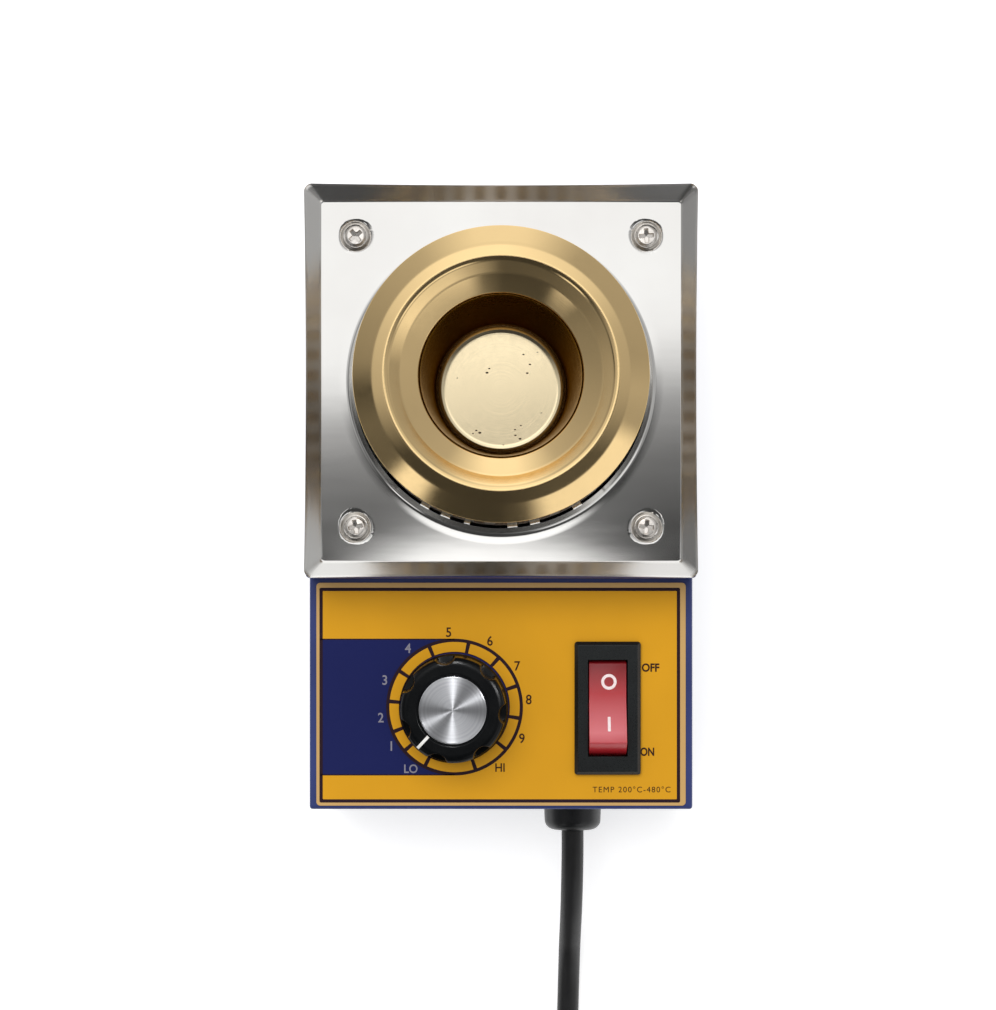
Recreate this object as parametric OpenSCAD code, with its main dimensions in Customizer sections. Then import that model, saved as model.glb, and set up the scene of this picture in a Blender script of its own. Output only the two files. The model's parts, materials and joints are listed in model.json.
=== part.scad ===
// Small electric solder pot: sheet-steel case, pressed tray, spun crucible,
// resistance heater, dial control, rocker switch and mains lead.
// Millimetres, +Z up, front panel towards -Y. Origin: middle of the case on the bench.

/* [Case] */
// Width of the case across its side walls
case_w = 99.8; // [96:0.1:110]
// Length of the low front part, from the front face to the step
panel_l = 60.1; // [59:0.1:75]
// Height of the front panel above the bench
panel_z = 51; // [50:0.5:58]
// Thickness of the case sheet
sheet_t = 1.2; // [1:0.1:1.6]
// Outside radius of the case bends
bend_r = 1; // [0.6:0.1:2]
// Width of the inward flange along the bottom of each side wall
flange_w = 9; // [8:0.5:10]
// Gap all round between the base plate and the case walls
base_gap = 0.2; // [0.1:0.1:0.5]

/* [Feet] */
// Height of the rubber feet
foot_h = 6; // [5:0.5:10]
// Radius of the feet at the top
foot_r = 7; // [6.5:0.5:8]
// Distance of the foot centres from the side walls
foot_in_x = 15.25; // [14:0.25:18]
// Distance of the foot centres from the front and rear walls
foot_in_y = 12; // [11:0.5:16]

/* [Tray] */
// Height of the tray floor above the bench
tray_z = 65; // [64:0.5:72]
// Thickness of the tray sheet
tray_t = 0.7; // [0.5:0.1:1]
// Distance that the tray stands out over the case
tray_over = 0.1; // [0.05:0.05:2]
// Width of the raised border, seen from above
border_w = 4; // [3:0.5:6]
// Height of the raised border over the floor
border_h = 3; // [2:0.5:5]
// Distance by which the middle of each side bows in
border_bow = 0.5; // [0:0.1:1]
// Corner radius of the border
border_r = 2; // [1:0.5:4]
// Distance of the tray screws from the case sides
tray_screw_in = 12.9; // [11.5:0.1:13]
// Depth of the pressed dimples round the tray screws
dimple_h = 1; // [0.6:0.1:1.4]
// Radius of the dimples at the floor
dimple_r = 4.4; // [4.2:0.1:5]
// Gap between the tray lip and the heater shroud
lip_gap = 0.7; // [0.4:0.1:1]
// Height of the lip round the tray opening
lip_h = 1.6; // [1:0.1:2.5]

/* [Crucible] */
// Height of the rolled crest above the bench
crest_z = 88; // [87:0.5:94]
// Height of the flange edge below the crest
flange_drop = 3; // [2:0.5:4]
// Radius of the flange edge
flange_r = 36.5; // [36:0.25:38]
// Radius of the crest
crest_r = 28.6; // [28:0.2:30]
// Radius of the foot of the crest, where the ledge begins
ledge_r = 25; // [24:0.25:26]
// Depth of the ledge below the crest
ledge_drop = 2.8; // [2:0.2:5]
// Radius of the well at its mouth
mouth_r = 20.1; // [19:0.1:21]
// Depth of the mouth below the crest
mouth_drop = 6.2; // [5.6:0.2:9]
// Radius of the well at its floor
well_r = 17.1; // [15:0.1:18]
// Depth of the well floor below the crest
well_depth = 44; // [40:0.5:45]
// Thickness of the crucible sheet
pot_t = 0.8; // [0.6:0.1:1]

/* [Heater] */
// Thickness of the shroud sheet
shroud_t = 0.6; // [0.5:0.1:0.8]
// Distance that the shroud stands out past the flange edge
shroud_out = 0.1; // [0:0.05:0.3]
// Number of slots in the shroud
slot_count = 42; // [30:1:48]
// Width of one slot
slot_w = 2.85; // [2:0.05:3.2]
// Depth of the slots below the shroud's top edge
slot_h = 13; // [8:0.5:14]
// Seating gap between the flange and the shroud
seat_gap = 0.2; // [0.1:0.05:0.3]
// Thickness of the fibre disc under the crucible
disc_t = 2.4; // [2.2:0.1:3]
// Gap between the crucible and the fibre disc
floor_gap = 0.2; // [0.1:0.1:0.5]
// Outside radius of the ceramic former
former_r = 24; // [23.6:0.1:24.4]
// Gap between the well and the former
former_gap = 0.4; // [0.3:0.1:0.8]
// Height of the former
former_h = 29.5; // [26:0.5:30]
// Radius of the heating wire
heat_wire_r = 0.5; // [0.3:0.05:0.6]
// Number of turns of heating wire
heat_turns = 9; // [6:1:10]
// Thickness of the mica sleeve
mica_t = 0.8; // [0.5:0.1:1]
// Running gap between round heater parts
heater_gap = 0.3; // [0.2:0.05:0.4]
// Gap between the feet of the heater bracket and the case flanges
bracket_gap = 1.5; // [0.8:0.1:3]
// Length of the heater bracket, front to back
bracket_l = 40; // [36:1:44]
// Thickness of the bracket sheet
bracket_t = 1.5; // [1:0.1:2]
// Radius of the sleeved heater leads
lead_r = 1.2; // [0.8:0.1:1.3]

/* [Dial control] */
// Distance of the knob axis to the left of the middle
knob_left = 12.3; // [8:0.1:14]
// Distance of the knob and switch from the front face
control_in = 26.4; // [25:0.1:28]
// Radius of the knob's skirt
knob_r = 14.3; // [13.8:0.1:16]
// Height of the knob
knob_h = 14.3; // [13:0.1:18]
// Gap under the knob
knob_lift = 0.9; // [0.5:0.1:2]
// Height of the knob's skirt
skirt_h = 2.6; // [2:0.1:4]
// Radius of the knob's grip at its foot
grip_r = 13.4; // [12.6:0.1:13.7]
// Number of flutes round the grip
flute_count = 7; // [5:1:12]
// Radius of the cutter for one flute
flute_r = 3; // [2:0.1:4]
// Depth of a flute in the grip
flute_depth = 1.1; // [0.5:0.1:1.8]
// Radius of the metal cap
cap_r = 8.6; // [7:0.1:9.5]
// Thickness of the metal cap
cap_t = 0.8; // [0.5:0.1:1.2]
// Radius of the control shaft
shaft_r = 3; // [2.5:0.05:3.2]
// Running gap round the shaft
shaft_gap = 0.05; // [0.02:0.01:0.1]
// Outside radius of the threaded bush
bush_r = 4.75; // [4.2:0.05:5]
// Radius of the control's body
control_r = 12; // [10:0.5:13]
// Height of the control's body
control_h = 9.5; // [8:0.5:11]
// Direction of the pointer at rest, clockwise from the rear
pointer_deg = -137; // [-148:1:148]

/* [Switch] */
// Distance of the switch to the right of the middle
switch_right = 27.7; // [26:0.1:30]
// Width of the switch bezel
bezel_w = 17.2; // [16.8:0.1:18]
// Length of the switch bezel
bezel_l = 34.6; // [34:0.1:37]
// Height of the bezel above the panel
bezel_h = 2; // [1.5:0.1:3]
// Width of the opening for the rocker
rocker_slot_w = 10.3; // [10:0.1:10.6]
// Length of the opening for the rocker
rocker_slot_l = 25.1; // [24.9:0.1:26]
// Gap at each side of the rocker
rocker_gap = 0.3; // [0.2:0.05:0.5]
// Half of the rocker's travel
rocker_deg = 10.5; // [8:0.5:10.5]
// Width of the switch body below the panel
switch_w = 14.4; // [14.2:0.1:15]
// Length of the switch body below the panel
switch_l = 30.6; // [30.2:0.1:31.5]
// Depth of the switch body below the panel
switch_d = 22; // [20:0.5:23]
// Radius of the rocker's pivot pins
pivot_r = 1.25; // [1:0.05:1.3]
// Running gap round the pivot pins
pivot_gap = 0.06; // [0.03:0.01:0.1]

/* [Circuit board] */
// Width of the circuit board
board_w = 50; // [48:0.5:51]
// Length of the circuit board
board_l = 36; // [36:0.5:39]
// Thickness of the circuit board
board_t = 1.6; // [1:0.1:2]
// Height of the pillars under the board
pillar_h = 8.8; // [8:0.1:10]
// Distance of the board from the left wall
board_in = 11; // [10.5:0.1:12.5]
// Distance of the board from the front wall
board_in_y = 17.8; // [17.5:0.1:19]

/* [Fasteners] */
// Radius of the small screws
screw_r = 1.5; // [1.45:0.05:1.55]
// Radius of the small screw heads
head_r = 2.85; // [2.7:0.05:3]
// Height of the small screw heads
head_h = 1.9; // [1.6:0.05:2]
// Clearance of a screw in its hole
hole_gap = 0.15; // [0.1:0.05:0.25]
// Distance across the flats of the small nuts
nut_af = 5.5; // [5.2:0.1:5.8]
// Height of the small nuts
nut_h = 2.4; // [2:0.1:2.6]

/* [Mains lead] */
// Radius of the mains cord
cord_r = 3; // [2.8:0.1:3.2]
// Distance of the gland to the right of the middle
gland_right = 19.5; // [18:0.5:21]
// Height of the gland's axis above the bench
gland_z = 22; // [21:0.5:24]
// Radius of the gland's head
gland_r = 7.85; // [7:0.05:9]
// Distance that the gland stands out of the case
gland_out = 7.8; // [6:0.1:12]
// Radius of the gland's threaded neck
gland_neck_r = 6; // [5.6:0.1:6.4]
// Radius of the coiled cord at the middle of its turns
coil_mid_r = 35; // [33:0.5:36]
// Number of cords side by side in the coil
coil_columns = 3; // [2:1:3]
// Number of layers in the coil
coil_layers = 2; // [1:1:3]
// Width of the plug
plug_w = 26; // [24:0.5:28]
// Thickness of the plug
plug_t = 22; // [20:0.5:24]
// Length of the plug's body
plug_l = 28; // [24:0.5:34]

/* [Hidden] */
$fn = 64;

// Small overshoot for cuts that pass right through
cut = 1;

// Places that follow from the driving sizes
front_y = -(panel_l + case_w + tray_over) / 2;
step_y = front_y + panel_l;
rear_y = step_y + case_w;
pot_y = step_y + case_w / 2;
deck_z = tray_z - tray_t - dimple_h;
base_top = foot_h + sheet_t;
foot_x = case_w / 2 - foot_in_x;
foot_ys = [front_y + foot_in_y, rear_y - foot_in_y];
tray_screw_pitch = case_w - 2 * tray_screw_in;
base_screw_x = case_w / 2 - sheet_t - flange_w / 2;
base_screw_in = 18;
base_screw_back = 20;
base_screw_ys = [front_y + foot_in_y + base_screw_in, pot_y + base_screw_back];
shroud_r = flange_r + shroud_out;
lip_r = shroud_r + lip_gap;
rim_z = crest_z - flange_drop;
well_z = crest_z - well_depth;
flange_slope = atan((flange_drop + 0.5) / (flange_r - crest_r + 0.4));
shroud_top = rim_z - pot_t * cos(flange_slope) - seat_gap;
cup_z = well_z - pot_t - floor_gap - disc_t - shroud_t;
disc_z = cup_z + shroud_t;
former_z = disc_z + disc_t;
winding_r = former_r + heat_wire_r + heater_gap;
mica_r = winding_r + heat_wire_r + heater_gap;
fibre_r = mica_r + mica_t + heater_gap;
lead_r_at = fibre_r + lead_r + 0.6;
bracket_hole_y = 12;
bracket_foot = 10;
bracket_w = case_w - 2 * (sheet_t + flange_w + bracket_gap + bracket_foot);

// ---------- helpers ----------

// Unit vector along v
function unit(v) = v / norm(v);

// Points of a path whose corners [x, y, radius] are rounded by arcs of n steps
function rounded(path, n = 6) = [
    for (i = [0 : len(path) - 1])
        each (i == 0 || i == len(path) - 1 || !path[i][2])
            ? [[path[i][0], path[i][1]]]
            : corner_arc(path[i - 1], path[i], path[i + 1], n)
];
function corner_arc(a, b, c, n) =
    let (p = [b[0], b[1]],
         u = unit([a[0], a[1]] - p),
         v = unit([c[0], c[1]] - p),
         half = acos(u * v) / 2,
         m = p + unit(u + v) * b[2] / sin(half),
         start = p + u * b[2] / tan(half) - m,
         end = p + v * b[2] / tan(half) - m,
         turn = 180 - 2 * half,
         side = cross(start, end) > 0 ? 1 : -1)
    [for (k = [0 : n])
        let (a = side * turn * k / n)
        m + [start[0] * cos(a) - start[1] * sin(a), start[0] * sin(a) + start[1] * cos(a)]];

// The same path moved sideways by t, to the right of its direction
function beside(path, t) = [
    for (i = [0 : len(path) - 1])
        let (d1 = unit(path[min(i + 1, len(path) - 1)] - path[min(i, len(path) - 2)]),
             d0 = unit(path[max(i, 1)] - path[max(i - 1, 0)]),
             s = unit(d0 + d1),
             grow = 1 / max(0.3, s * d1))
        path[i] + t * grow * [s[1], -s[0]]
];

// Spun or drawn sheet: a path swept round Z with thickness t
module spun_sheet(path, t) {
    rotate_extrude($fn = 96)
        polygon(concat(path, [for (i = [len(path) - 1 : -1 : 0]) beside(path, t)[i]]));
}

// Direction of a route at point i
function heading(p, i) = unit(p[min(i + 1, len(p) - 1)] - p[max(i - 1, 0)]);

// One side direction for each point of a route, carried along without twist
function sides_of(p, n, i = 0) =
    i == len(p) ? [] :
    let (t = heading(p, i), m = unit(n - (n * t) * t))
    concat([m], sides_of(p, m, i + 1));

// Tube of radius r swept along the points of a route
module swept_tube(p, r, sides = 8) {
    first = heading(p, 0);
    across = sides_of(p, cross(first, abs(first[2]) < 0.9 ? [0, 0, 1] : [1, 0, 0]));
    rings = len(p);
    points = [
        for (i = [0 : rings - 1])
            let (t = heading(p, i), n = across[i], b = cross(t, n))
            for (k = [0 : sides - 1])
                p[i] + r * (cos(360 * k / sides) * n + sin(360 * k / sides) * b)
    ];
    walls = [
        for (i = [0 : rings - 2], k = [0 : sides - 1])
            let (a = i * sides + k, b = i * sides + (k + 1) % sides)
            each [[a, a + sides, b + sides], [a, b + sides, b]]
    ];
    caps = [
        [for (k = [0 : sides - 1]) k],
        [for (k = [sides - 1 : -1 : 0]) (rings - 1) * sides + k]
    ];
    polyhedron(points = points, faces = concat(walls, caps), convexity = 8);
}

// Flat rectangle with round corners, centred
module round_rect(w, l, r) {
    square([w - 2 * r, l], center = true);
    square([w, l - 2 * r], center = true);
    for (x = [-1, 1], y = [-1, 1])
        translate([x * (w / 2 - r), y * (l / 2 - r)]) circle(r = r);
}

// Box with its upright edges and its top edges rounded, standing on z = 0
module bent_box(w, l, h, r) {
    intersection() {
        linear_extrude(h) round_rect(w, l, r);
        translate([0, l, 0]) rotate([90, 0, 0])
            linear_extrude(2 * l) round_rect(w, 2 * h, r);
        translate([-w, 0, 0]) rotate([90, 0, 90])
            linear_extrude(2 * w) round_rect(l, 2 * h, r);
    }
}

// Pan-head screw pointing down, the underside of its head at z = 0
module pan_screw(length, r = screw_r, hr = head_r, hh = head_h) {
    difference() {
        union() {
            rotate_extrude()
                polygon(rounded([[0, 0], [hr, 0], [hr, hh, hh * 0.6], [0, hh]], 8));
            translate([0, 0, -length]) cylinder(r = r, h = length + 0.1);
        }
        for (a = [0, 90]) rotate(a)
            translate([-hr * 0.56, -0.35, hh - 1.1]) cube([hr * 1.12, 0.7, 2]);
    }
}

// Hexagon nut standing on z = 0
module hex_nut(af, h, r) {
    difference() {
        cylinder(d = af / cos(30), h = h, $fn = 6);
        translate([0, 0, -cut]) cylinder(r = r, h = h + 2 * cut, $fn = 32);
    }
}

// Copies at the four corners of a rectangle centred on c
module at_corners(x, y, c = [0, 0, 0]) {
    for (sx = [-1, 1], sy = [-1, 1]) translate(c + [sx * x, sy * y, 0]) children();
}

// ---------- feet and base ----------

// Distance that a tapped screw stands past its sheet
screw_past = 2.5;

// Depth of the screw heads in the feet, from the foot's top
foot_seat = 3;

module rubber_feet() {
    color("#1b1b1d")
    for (x = [-foot_x, foot_x], y = foot_ys) translate([x, y, 0])
        difference() {
            cylinder(r1 = foot_r - 1, r2 = foot_r, h = foot_h);
            translate([0, 0, -cut]) cylinder(r = screw_r + hole_gap, h = foot_h + 2 * cut);
            translate([0, 0, -cut]) cylinder(r = head_r + 0.4, h = foot_h - foot_seat + cut);
        }
}

module foot_screws() {
    color("#b9bcc0")
    for (x = [-foot_x, foot_x], y = foot_ys) translate([x, y, foot_h - foot_seat])
        mirror([0, 0, 1]) pan_screw(foot_seat + sheet_t + nut_h + 1);
}

module base_plate() {
    w = case_w - 2 * sheet_t - 2 * base_gap;
    y0 = front_y + sheet_t + base_gap;
    l = rear_y - sheet_t - base_gap - y0;
    r = screw_r + hole_gap;
    color("#2a2f7a")
    difference() {
        translate([-w / 2, y0, foot_h]) cube([w, l, sheet_t]);
        translate([0, 0, foot_h - cut]) {
            for (x = [-foot_x, foot_x], y = foot_ys) translate([x, y, 0])
                cylinder(r = r, h = sheet_t + 2 * cut);
            for (x = [-base_screw_x, base_screw_x], y = base_screw_ys) translate([x, y, 0])
                cylinder(r = r, h = sheet_t + 2 * cut);
            at_corners(bracket_w / 2 + bracket_foot / 2, bracket_hole_y, [0, pot_y, 0])
                cylinder(r = r, h = sheet_t + 2 * cut);
            at_corners(pillar_x, pillar_y, board_c) cylinder(r = r, h = sheet_t + 2 * cut);
            translate(stud_at) cylinder(r = stud_r + hole_gap, h = sheet_t + 2 * cut);
        }
    }
}

module base_screws() {
    color("#b9bcc0")
    for (x = [-base_screw_x, base_screw_x], y = base_screw_ys) translate([x, y, foot_h])
        mirror([0, 0, 1]) pan_screw(2 * sheet_t + screw_past);
}

// ---------- case ----------

module housing() {
    in_w = case_w - 2 * sheet_t;
    wall_h = panel_z - foot_h;
    deck_h = deck_z - foot_h;
    color("#2a2f7a") {
        difference() {
            union() {
                translate([0, front_y + (panel_l + 2 * bend_r + sheet_t) / 2, foot_h])
                    bent_box(case_w, panel_l + 2 * bend_r + sheet_t, wall_h, bend_r);
                translate([0, pot_y, foot_h]) bent_box(case_w, case_w, deck_h, bend_r);
            }
            translate([-in_w / 2, front_y + sheet_t, foot_h - cut])
                cube([in_w, panel_l, wall_h - sheet_t + cut]);
            translate([-in_w / 2, step_y + sheet_t, foot_h - cut])
                cube([in_w, case_w - 2 * sheet_t, deck_h - sheet_t + cut]);
            // opening for the heater, and holes for the tray screws
            translate([0, pot_y, deck_z - 2 * sheet_t])
                cylinder(r = lip_r + 1.5, h = 4 * sheet_t, $fn = 96);
            at_corners(tray_screw_pitch / 2, tray_screw_pitch / 2, [0, pot_y, deck_z - 2 * sheet_t])
                cylinder(r = screw_r + hole_gap, h = 4 * sheet_t);
            // hole for the control's bush, and the cut-out for the switch
            translate([-knob_left, control_y, panel_z - 2 * sheet_t])
                cylinder(r = bush_r + hole_gap, h = 4 * sheet_t);
            translate([switch_right, control_y, panel_z])
                cube([switch_w + 0.4, switch_l + 0.4, 4 * sheet_t], center = true);
            // hole for the gland
            translate([gland_right, front_y - cut, gland_z]) rotate([-90, 0, 0])
                cylinder(r = gland_neck_r + hole_gap, h = sheet_t + 2 * cut);
        }
        // inward flanges that the base plate screws to
        for (side = [-1, 1]) difference() {
            translate([side > 0 ? in_w / 2 - flange_w : -in_w / 2 - sheet_t / 2,
                       front_y + foot_in_y, base_top])
                cube([flange_w + sheet_t / 2, rear_y - front_y - 2 * foot_in_y, sheet_t]);
            for (y = base_screw_ys) translate([side * base_screw_x, y, base_top - cut])
                cylinder(r = screw_r + hole_gap, h = sheet_t + 2 * cut);
        }
    }
}
control_y = front_y + control_in;

// ---------- tray ----------

// Outline of a square with half width h, sides bowed in by bow and corners of radius r
function tray_outline(h, r, bow, z) = [
    for (s = [0 : 3])
        let (c = cos(90 * s), d = sin(90 * s))
        each [
            for (k = [-4 : 3])
                let (u = (h - r) * k / 4, v = -(h - bow * (1 - pow(k / 4, 2))))
                [u * c - v * d, u * d + v * c, z],
            for (k = [0 : 3])
                let (a = -90 + 90 * k / 4, u = h - r + r * cos(a), v = -(h - r) + r * sin(a))
                [u * c - v * d, u * d + v * c, z]
        ]
];

// The raised border and floor of the tray, with no opening yet
module tray_blank() {
    a = atan(border_h / border_w);
    half = case_w / 2 + tray_over;
    edge = tray_t * [sin(a), cos(a)];
    inner = half - border_w;
    // rings of points: [half width, corner radius, bow, height]
    rings = [
        [inner + tray_t * tan(a / 2), 0.8, 0, tray_z - tray_t],
        [half, border_r, border_bow, tray_z + border_h - edge[1]],
        [half - edge[0], border_r, border_bow, tray_z + border_h],
        [inner, 0.8, 0, tray_z]
    ];
    n = 48;
    last = (len(rings) - 1) * n;
    points = concat(
        [for (q = rings) each tray_outline(q[0], q[1], q[2], q[3])],
        [[0, 0, tray_z - tray_t], [0, 0, tray_z]]);
    walls = [
        for (i = [0 : len(rings) - 2], k = [0 : n - 1])
            let (p = i * n + k, q = i * n + (k + 1) % n)
            each [[p, p + n, q + n], [p, q + n, q]]
    ];
    caps = [
        for (k = [0 : n - 1])
            let (next = (k + 1) % n)
            each [[k, next, last + n], [last + next, last + k, last + n + 1]]
    ];
    translate([0, pot_y, 0])
        polyhedron(points = points, faces = concat(walls, caps), convexity = 6);
}

module tray() {
    ring_r = lip_r + 3.4;
    lip = rounded([[ring_r, tray_z], [lip_r + 1.3, tray_z, 1.6], [lip_r, tray_z + lip_h]], 6);
    color("#c9ccd0") {
        difference() {
            tray_blank();
            translate([0, pot_y, tray_z - 2]) cylinder(r = ring_r, h = 4, $fn = 96);
            at_corners(tray_screw_pitch / 2, tray_screw_pitch / 2, [0, pot_y, tray_z - 2])
                cylinder(r = dimple_r + 0.4, h = 4);
        }
        translate([0, pot_y, 0]) spun_sheet(lip, -tray_t);
        at_corners(tray_screw_pitch / 2, tray_screw_pitch / 2, [0, pot_y, 0]) dimple();
    }
}

// One pressed dimple with its screw hole
module dimple() {
    low = tray_z - dimple_h;
    rotate_extrude() polygon([
        [screw_r + hole_gap, low], [dimple_r - 0.9, low], [dimple_r, tray_z],
        [dimple_r + 0.4, tray_z], [dimple_r + 0.4, tray_z - tray_t],
        [dimple_r - 0.3, low - tray_t], [screw_r + hole_gap, low - tray_t]
    ]);
}

module tray_screws() {
    turns = [[38, 4], [12, -6]];
    color("#d0d2d4")
    for (i = [0, 1], j = [0, 1])
        translate([(i - 0.5) * tray_screw_pitch, pot_y + (0.5 - j) * tray_screw_pitch,
                   tray_z - dimple_h])
            rotate(turns[j][i]) pan_screw(tray_t + sheet_t + nut_h + 1);
}

// Nuts on the feet, tray, heater bracket and shroud screws
module m3_nuts() {
    color("#b9bcc0") {
        for (x = [-foot_x, foot_x], y = foot_ys) translate([x, y, base_top])
            hex_nut(nut_af, nut_h, screw_r + 0.03);
        at_corners(tray_screw_pitch / 2, tray_screw_pitch / 2,
                   [0, pot_y, deck_z - sheet_t - nut_h])
            hex_nut(nut_af, nut_h, screw_r + 0.03);
        at_corners(bracket_w / 2 + bracket_foot / 2, bracket_hole_y,
                   [0, pot_y, base_top + bracket_t])
            hex_nut(nut_af, nut_h, screw_r + 0.03);
        for (x = [-1, 1]) translate([x * shroud_screw_x, pot_y, cup_z - bracket_t - nut_h])
            hex_nut(nut_af, nut_h, screw_r + 0.03);
    }
}
shroud_screw_x = 15;

// ---------- crucible and heater ----------

// Inside face of the crucible, from the middle of the floor to the flange edge
crucible_path = rounded([
    [0, well_z, 0],
    [well_r, well_z, 2.6],
    [mouth_r, crest_z - mouth_drop, 1.8],
    [ledge_r, crest_z - ledge_drop, 6],
    [crest_r - 0.6, crest_z + 0.22, 1.8],
    [(crest_r + flange_r) / 2 + 1, crest_z - flange_drop * 0.42, 12],
    [flange_r, rim_z, 0]
], 8);

module crucible() {
    color("#cfb06a")
    translate([0, pot_y, 0]) spun_sheet(crucible_path, pot_t);
}

module heater_shroud() {
    inner_r = shroud_r - shroud_t;
    color("#c4c6c9")
    translate([0, pot_y, 0]) difference() {
        rotate_extrude($fn = 96) polygon(concat(
            rounded([[0, cup_z], [shroud_r, cup_z, 1.6], [shroud_r, shroud_top]]),
            rounded([[inner_r, shroud_top], [inner_r, disc_z, 1], [0, disc_z]])));
        for (k = [0 : slot_count - 1]) rotate(360 * k / slot_count - 90)
            translate([inner_r - cut, -slot_w / 2, shroud_top - slot_h])
                cube([shroud_t + 2 * cut, slot_w, slot_h + cut]);
        for (x = [-1, 1]) translate([x * shroud_screw_x, 0, cup_z - cut])
            cylinder(r = screw_r + hole_gap, h = shroud_t + 2 * cut);
        for (a = lead_angles) rotate(a) translate([lead_r_at, 0, cup_z - cut])
            cylinder(r = lead_r + 0.4, h = shroud_t + 2 * cut);
    }
}
lead_angles = [-97, -83];

module insulation_disc() {
    color("#e8e4d8")
    translate([0, pot_y, disc_z]) difference() {
        cylinder(r = shroud_r - shroud_t - 1.2, h = disc_t, $fn = 96);
        for (x = [-1, 1]) translate([x * shroud_screw_x, 0, -cut])
            cylinder(r = head_r + 0.3, h = disc_t + 2 * cut);
        for (a = lead_angles) rotate(a) translate([lead_r_at, 0, -cut])
            cylinder(r = lead_r + 0.4, h = disc_t + 2 * cut);
    }
}

module heater_former() {
    color("#ded9c9")
    translate([0, pot_y, 0]) rotate_extrude($fn = 96)
        polygon([
            [well_r - 0.6, former_z], [former_r, former_z],
            [former_r, former_z + former_h], [mouth_r + pot_t + former_gap, former_z + former_h],
            [well_r + pot_t + former_gap + 0.4, former_z + 4],
            [well_r + pot_t + former_gap, former_z + 2.4]
        ]);
}

module heater_winding() {
    steps = 24;
    low = former_z + 4;
    high = former_z + former_h - 3;
    from = lead_angles[0] + 0.5;
    to = lead_angles[1] - 0.5;
    turn = 360 * (heat_turns - 1) + (to - from + 360) % 360;
    count = ceil(turn / 360 * steps);
    route = [
        for (i = [0 : count])
            let (a = from + turn * i / count)
            [winding_r * cos(a), pot_y + winding_r * sin(a), low + (high - low) * i / count]
    ];
    color("#8b8378") swept_tube(route, heat_wire_r, 6);
}

module heater_sleeve() {
    color("#b8a98a")
    translate([0, pot_y, former_z]) difference() {
        cylinder(r = mica_r + mica_t, h = former_h, $fn = 96);
        translate([0, 0, -cut]) cylinder(r = mica_r, h = former_h + 2 * cut, $fn = 96);
        // opening in front for the heater leads
        translate([-6, -fibre_r - 2, -cut]) cube([12, fibre_r, former_h + 2 * cut]);
    }
}

module insulation_sleeve() {
    h = shroud_top - slot_h - former_z - 0.5;
    color("#ece9df")
    translate([0, pot_y, former_z]) difference() {
        cylinder(r = shroud_r - shroud_t - heater_gap, h = h, $fn = 96);
        translate([0, 0, -cut]) cylinder(r = fibre_r, h = h + 2 * cut, $fn = 96);
        for (a = lead_angles) rotate(a) translate([lead_r_at, 0, -cut])
            cylinder(r = lead_r + 0.8, h = h + 2 * cut);
    }
}

module heater_bracket() {
    w = bracket_w;
    l = bracket_l;
    leg_h = cup_z - base_top;
    color("#b4b7ba")
    translate([0, pot_y - l / 2, base_top]) difference() {
        union() {
            translate([-w / 2, 0, leg_h - bracket_t]) cube([w, l, bracket_t]);
            for (side = [-1, 1]) {
                translate([side > 0 ? w / 2 - bracket_t : -w / 2, 0, 0])
                    cube([bracket_t, l, leg_h]);
                translate([side > 0 ? w / 2 - bracket_t : -w / 2 - bracket_foot, 0, 0])
                    cube([bracket_foot + bracket_t, l, bracket_t]);
            }
        }
        for (x = [-1, 1]) translate([x * shroud_screw_x, l / 2, leg_h - bracket_t - cut])
            cylinder(r = screw_r + hole_gap, h = bracket_t + 2 * cut);
        at_corners(w / 2 + bracket_foot / 2, bracket_hole_y, [0, l / 2, -cut])
            cylinder(r = screw_r + hole_gap, h = bracket_t + 2 * cut);
    }
}

module bracket_screws() {
    color("#b9bcc0") {
        at_corners(bracket_w / 2 + bracket_foot / 2, bracket_hole_y, [0, pot_y, foot_h])
            mirror([0, 0, 1]) pan_screw(sheet_t + bracket_t + nut_h + 1);
        for (x = [-1, 1]) translate([x * shroud_screw_x, pot_y, disc_z])
            pan_screw(shroud_t + bracket_t + nut_h + 1);
    }
}

// Sleeved leads from the two ends of the winding to the terminal block
module heater_leads() {
    starts = [former_z + 5, former_z + former_h - 9];
    ends = [block_right - 7, block_right - 3];
    color("#d8d2c0")
    for (i = [0, 1]) {
        a = lead_angles[i];
        x = lead_r_at * cos(a);
        y = pot_y + lead_r_at * sin(a);
        swept_tube([
            [x, y, starts[i]], [x, y, former_z], [x, y, cup_z - 4],
            [x, y - 3, cup_z - 9], [x + 1, y - 8, cup_z - 13],
            [(x + ends[i]) / 2, y - 16, cup_z - 16], [ends[i], block_rear_y + 9, block_wire_z],
            [ends[i], block_rear_y, block_wire_z]
        ], lead_r, 8);
    }
}

// ---------- front panel ----------

module panel_label() {
    y0 = front_y + bend_r;
    y1 = step_y - label_rear;
    color("#dfa02a")
    difference() {
        translate([0, (y0 + y1) / 2, panel_z]) linear_extrude(label_t)
            round_rect(case_w - 2 * label_side, y1 - y0, 1);
        translate([-knob_left, control_y, panel_z - cut])
            cylinder(r = bush_r + hole_gap, h = label_t + 2 * cut);
        translate([switch_right, control_y, panel_z])
            cube([switch_w + 0.4, switch_l + 0.4, 4], center = true);
    }
}
label_t = 0.3;
label_side = 1.85;
label_rear = 1.1;
label_z = panel_z + label_t;

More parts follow.
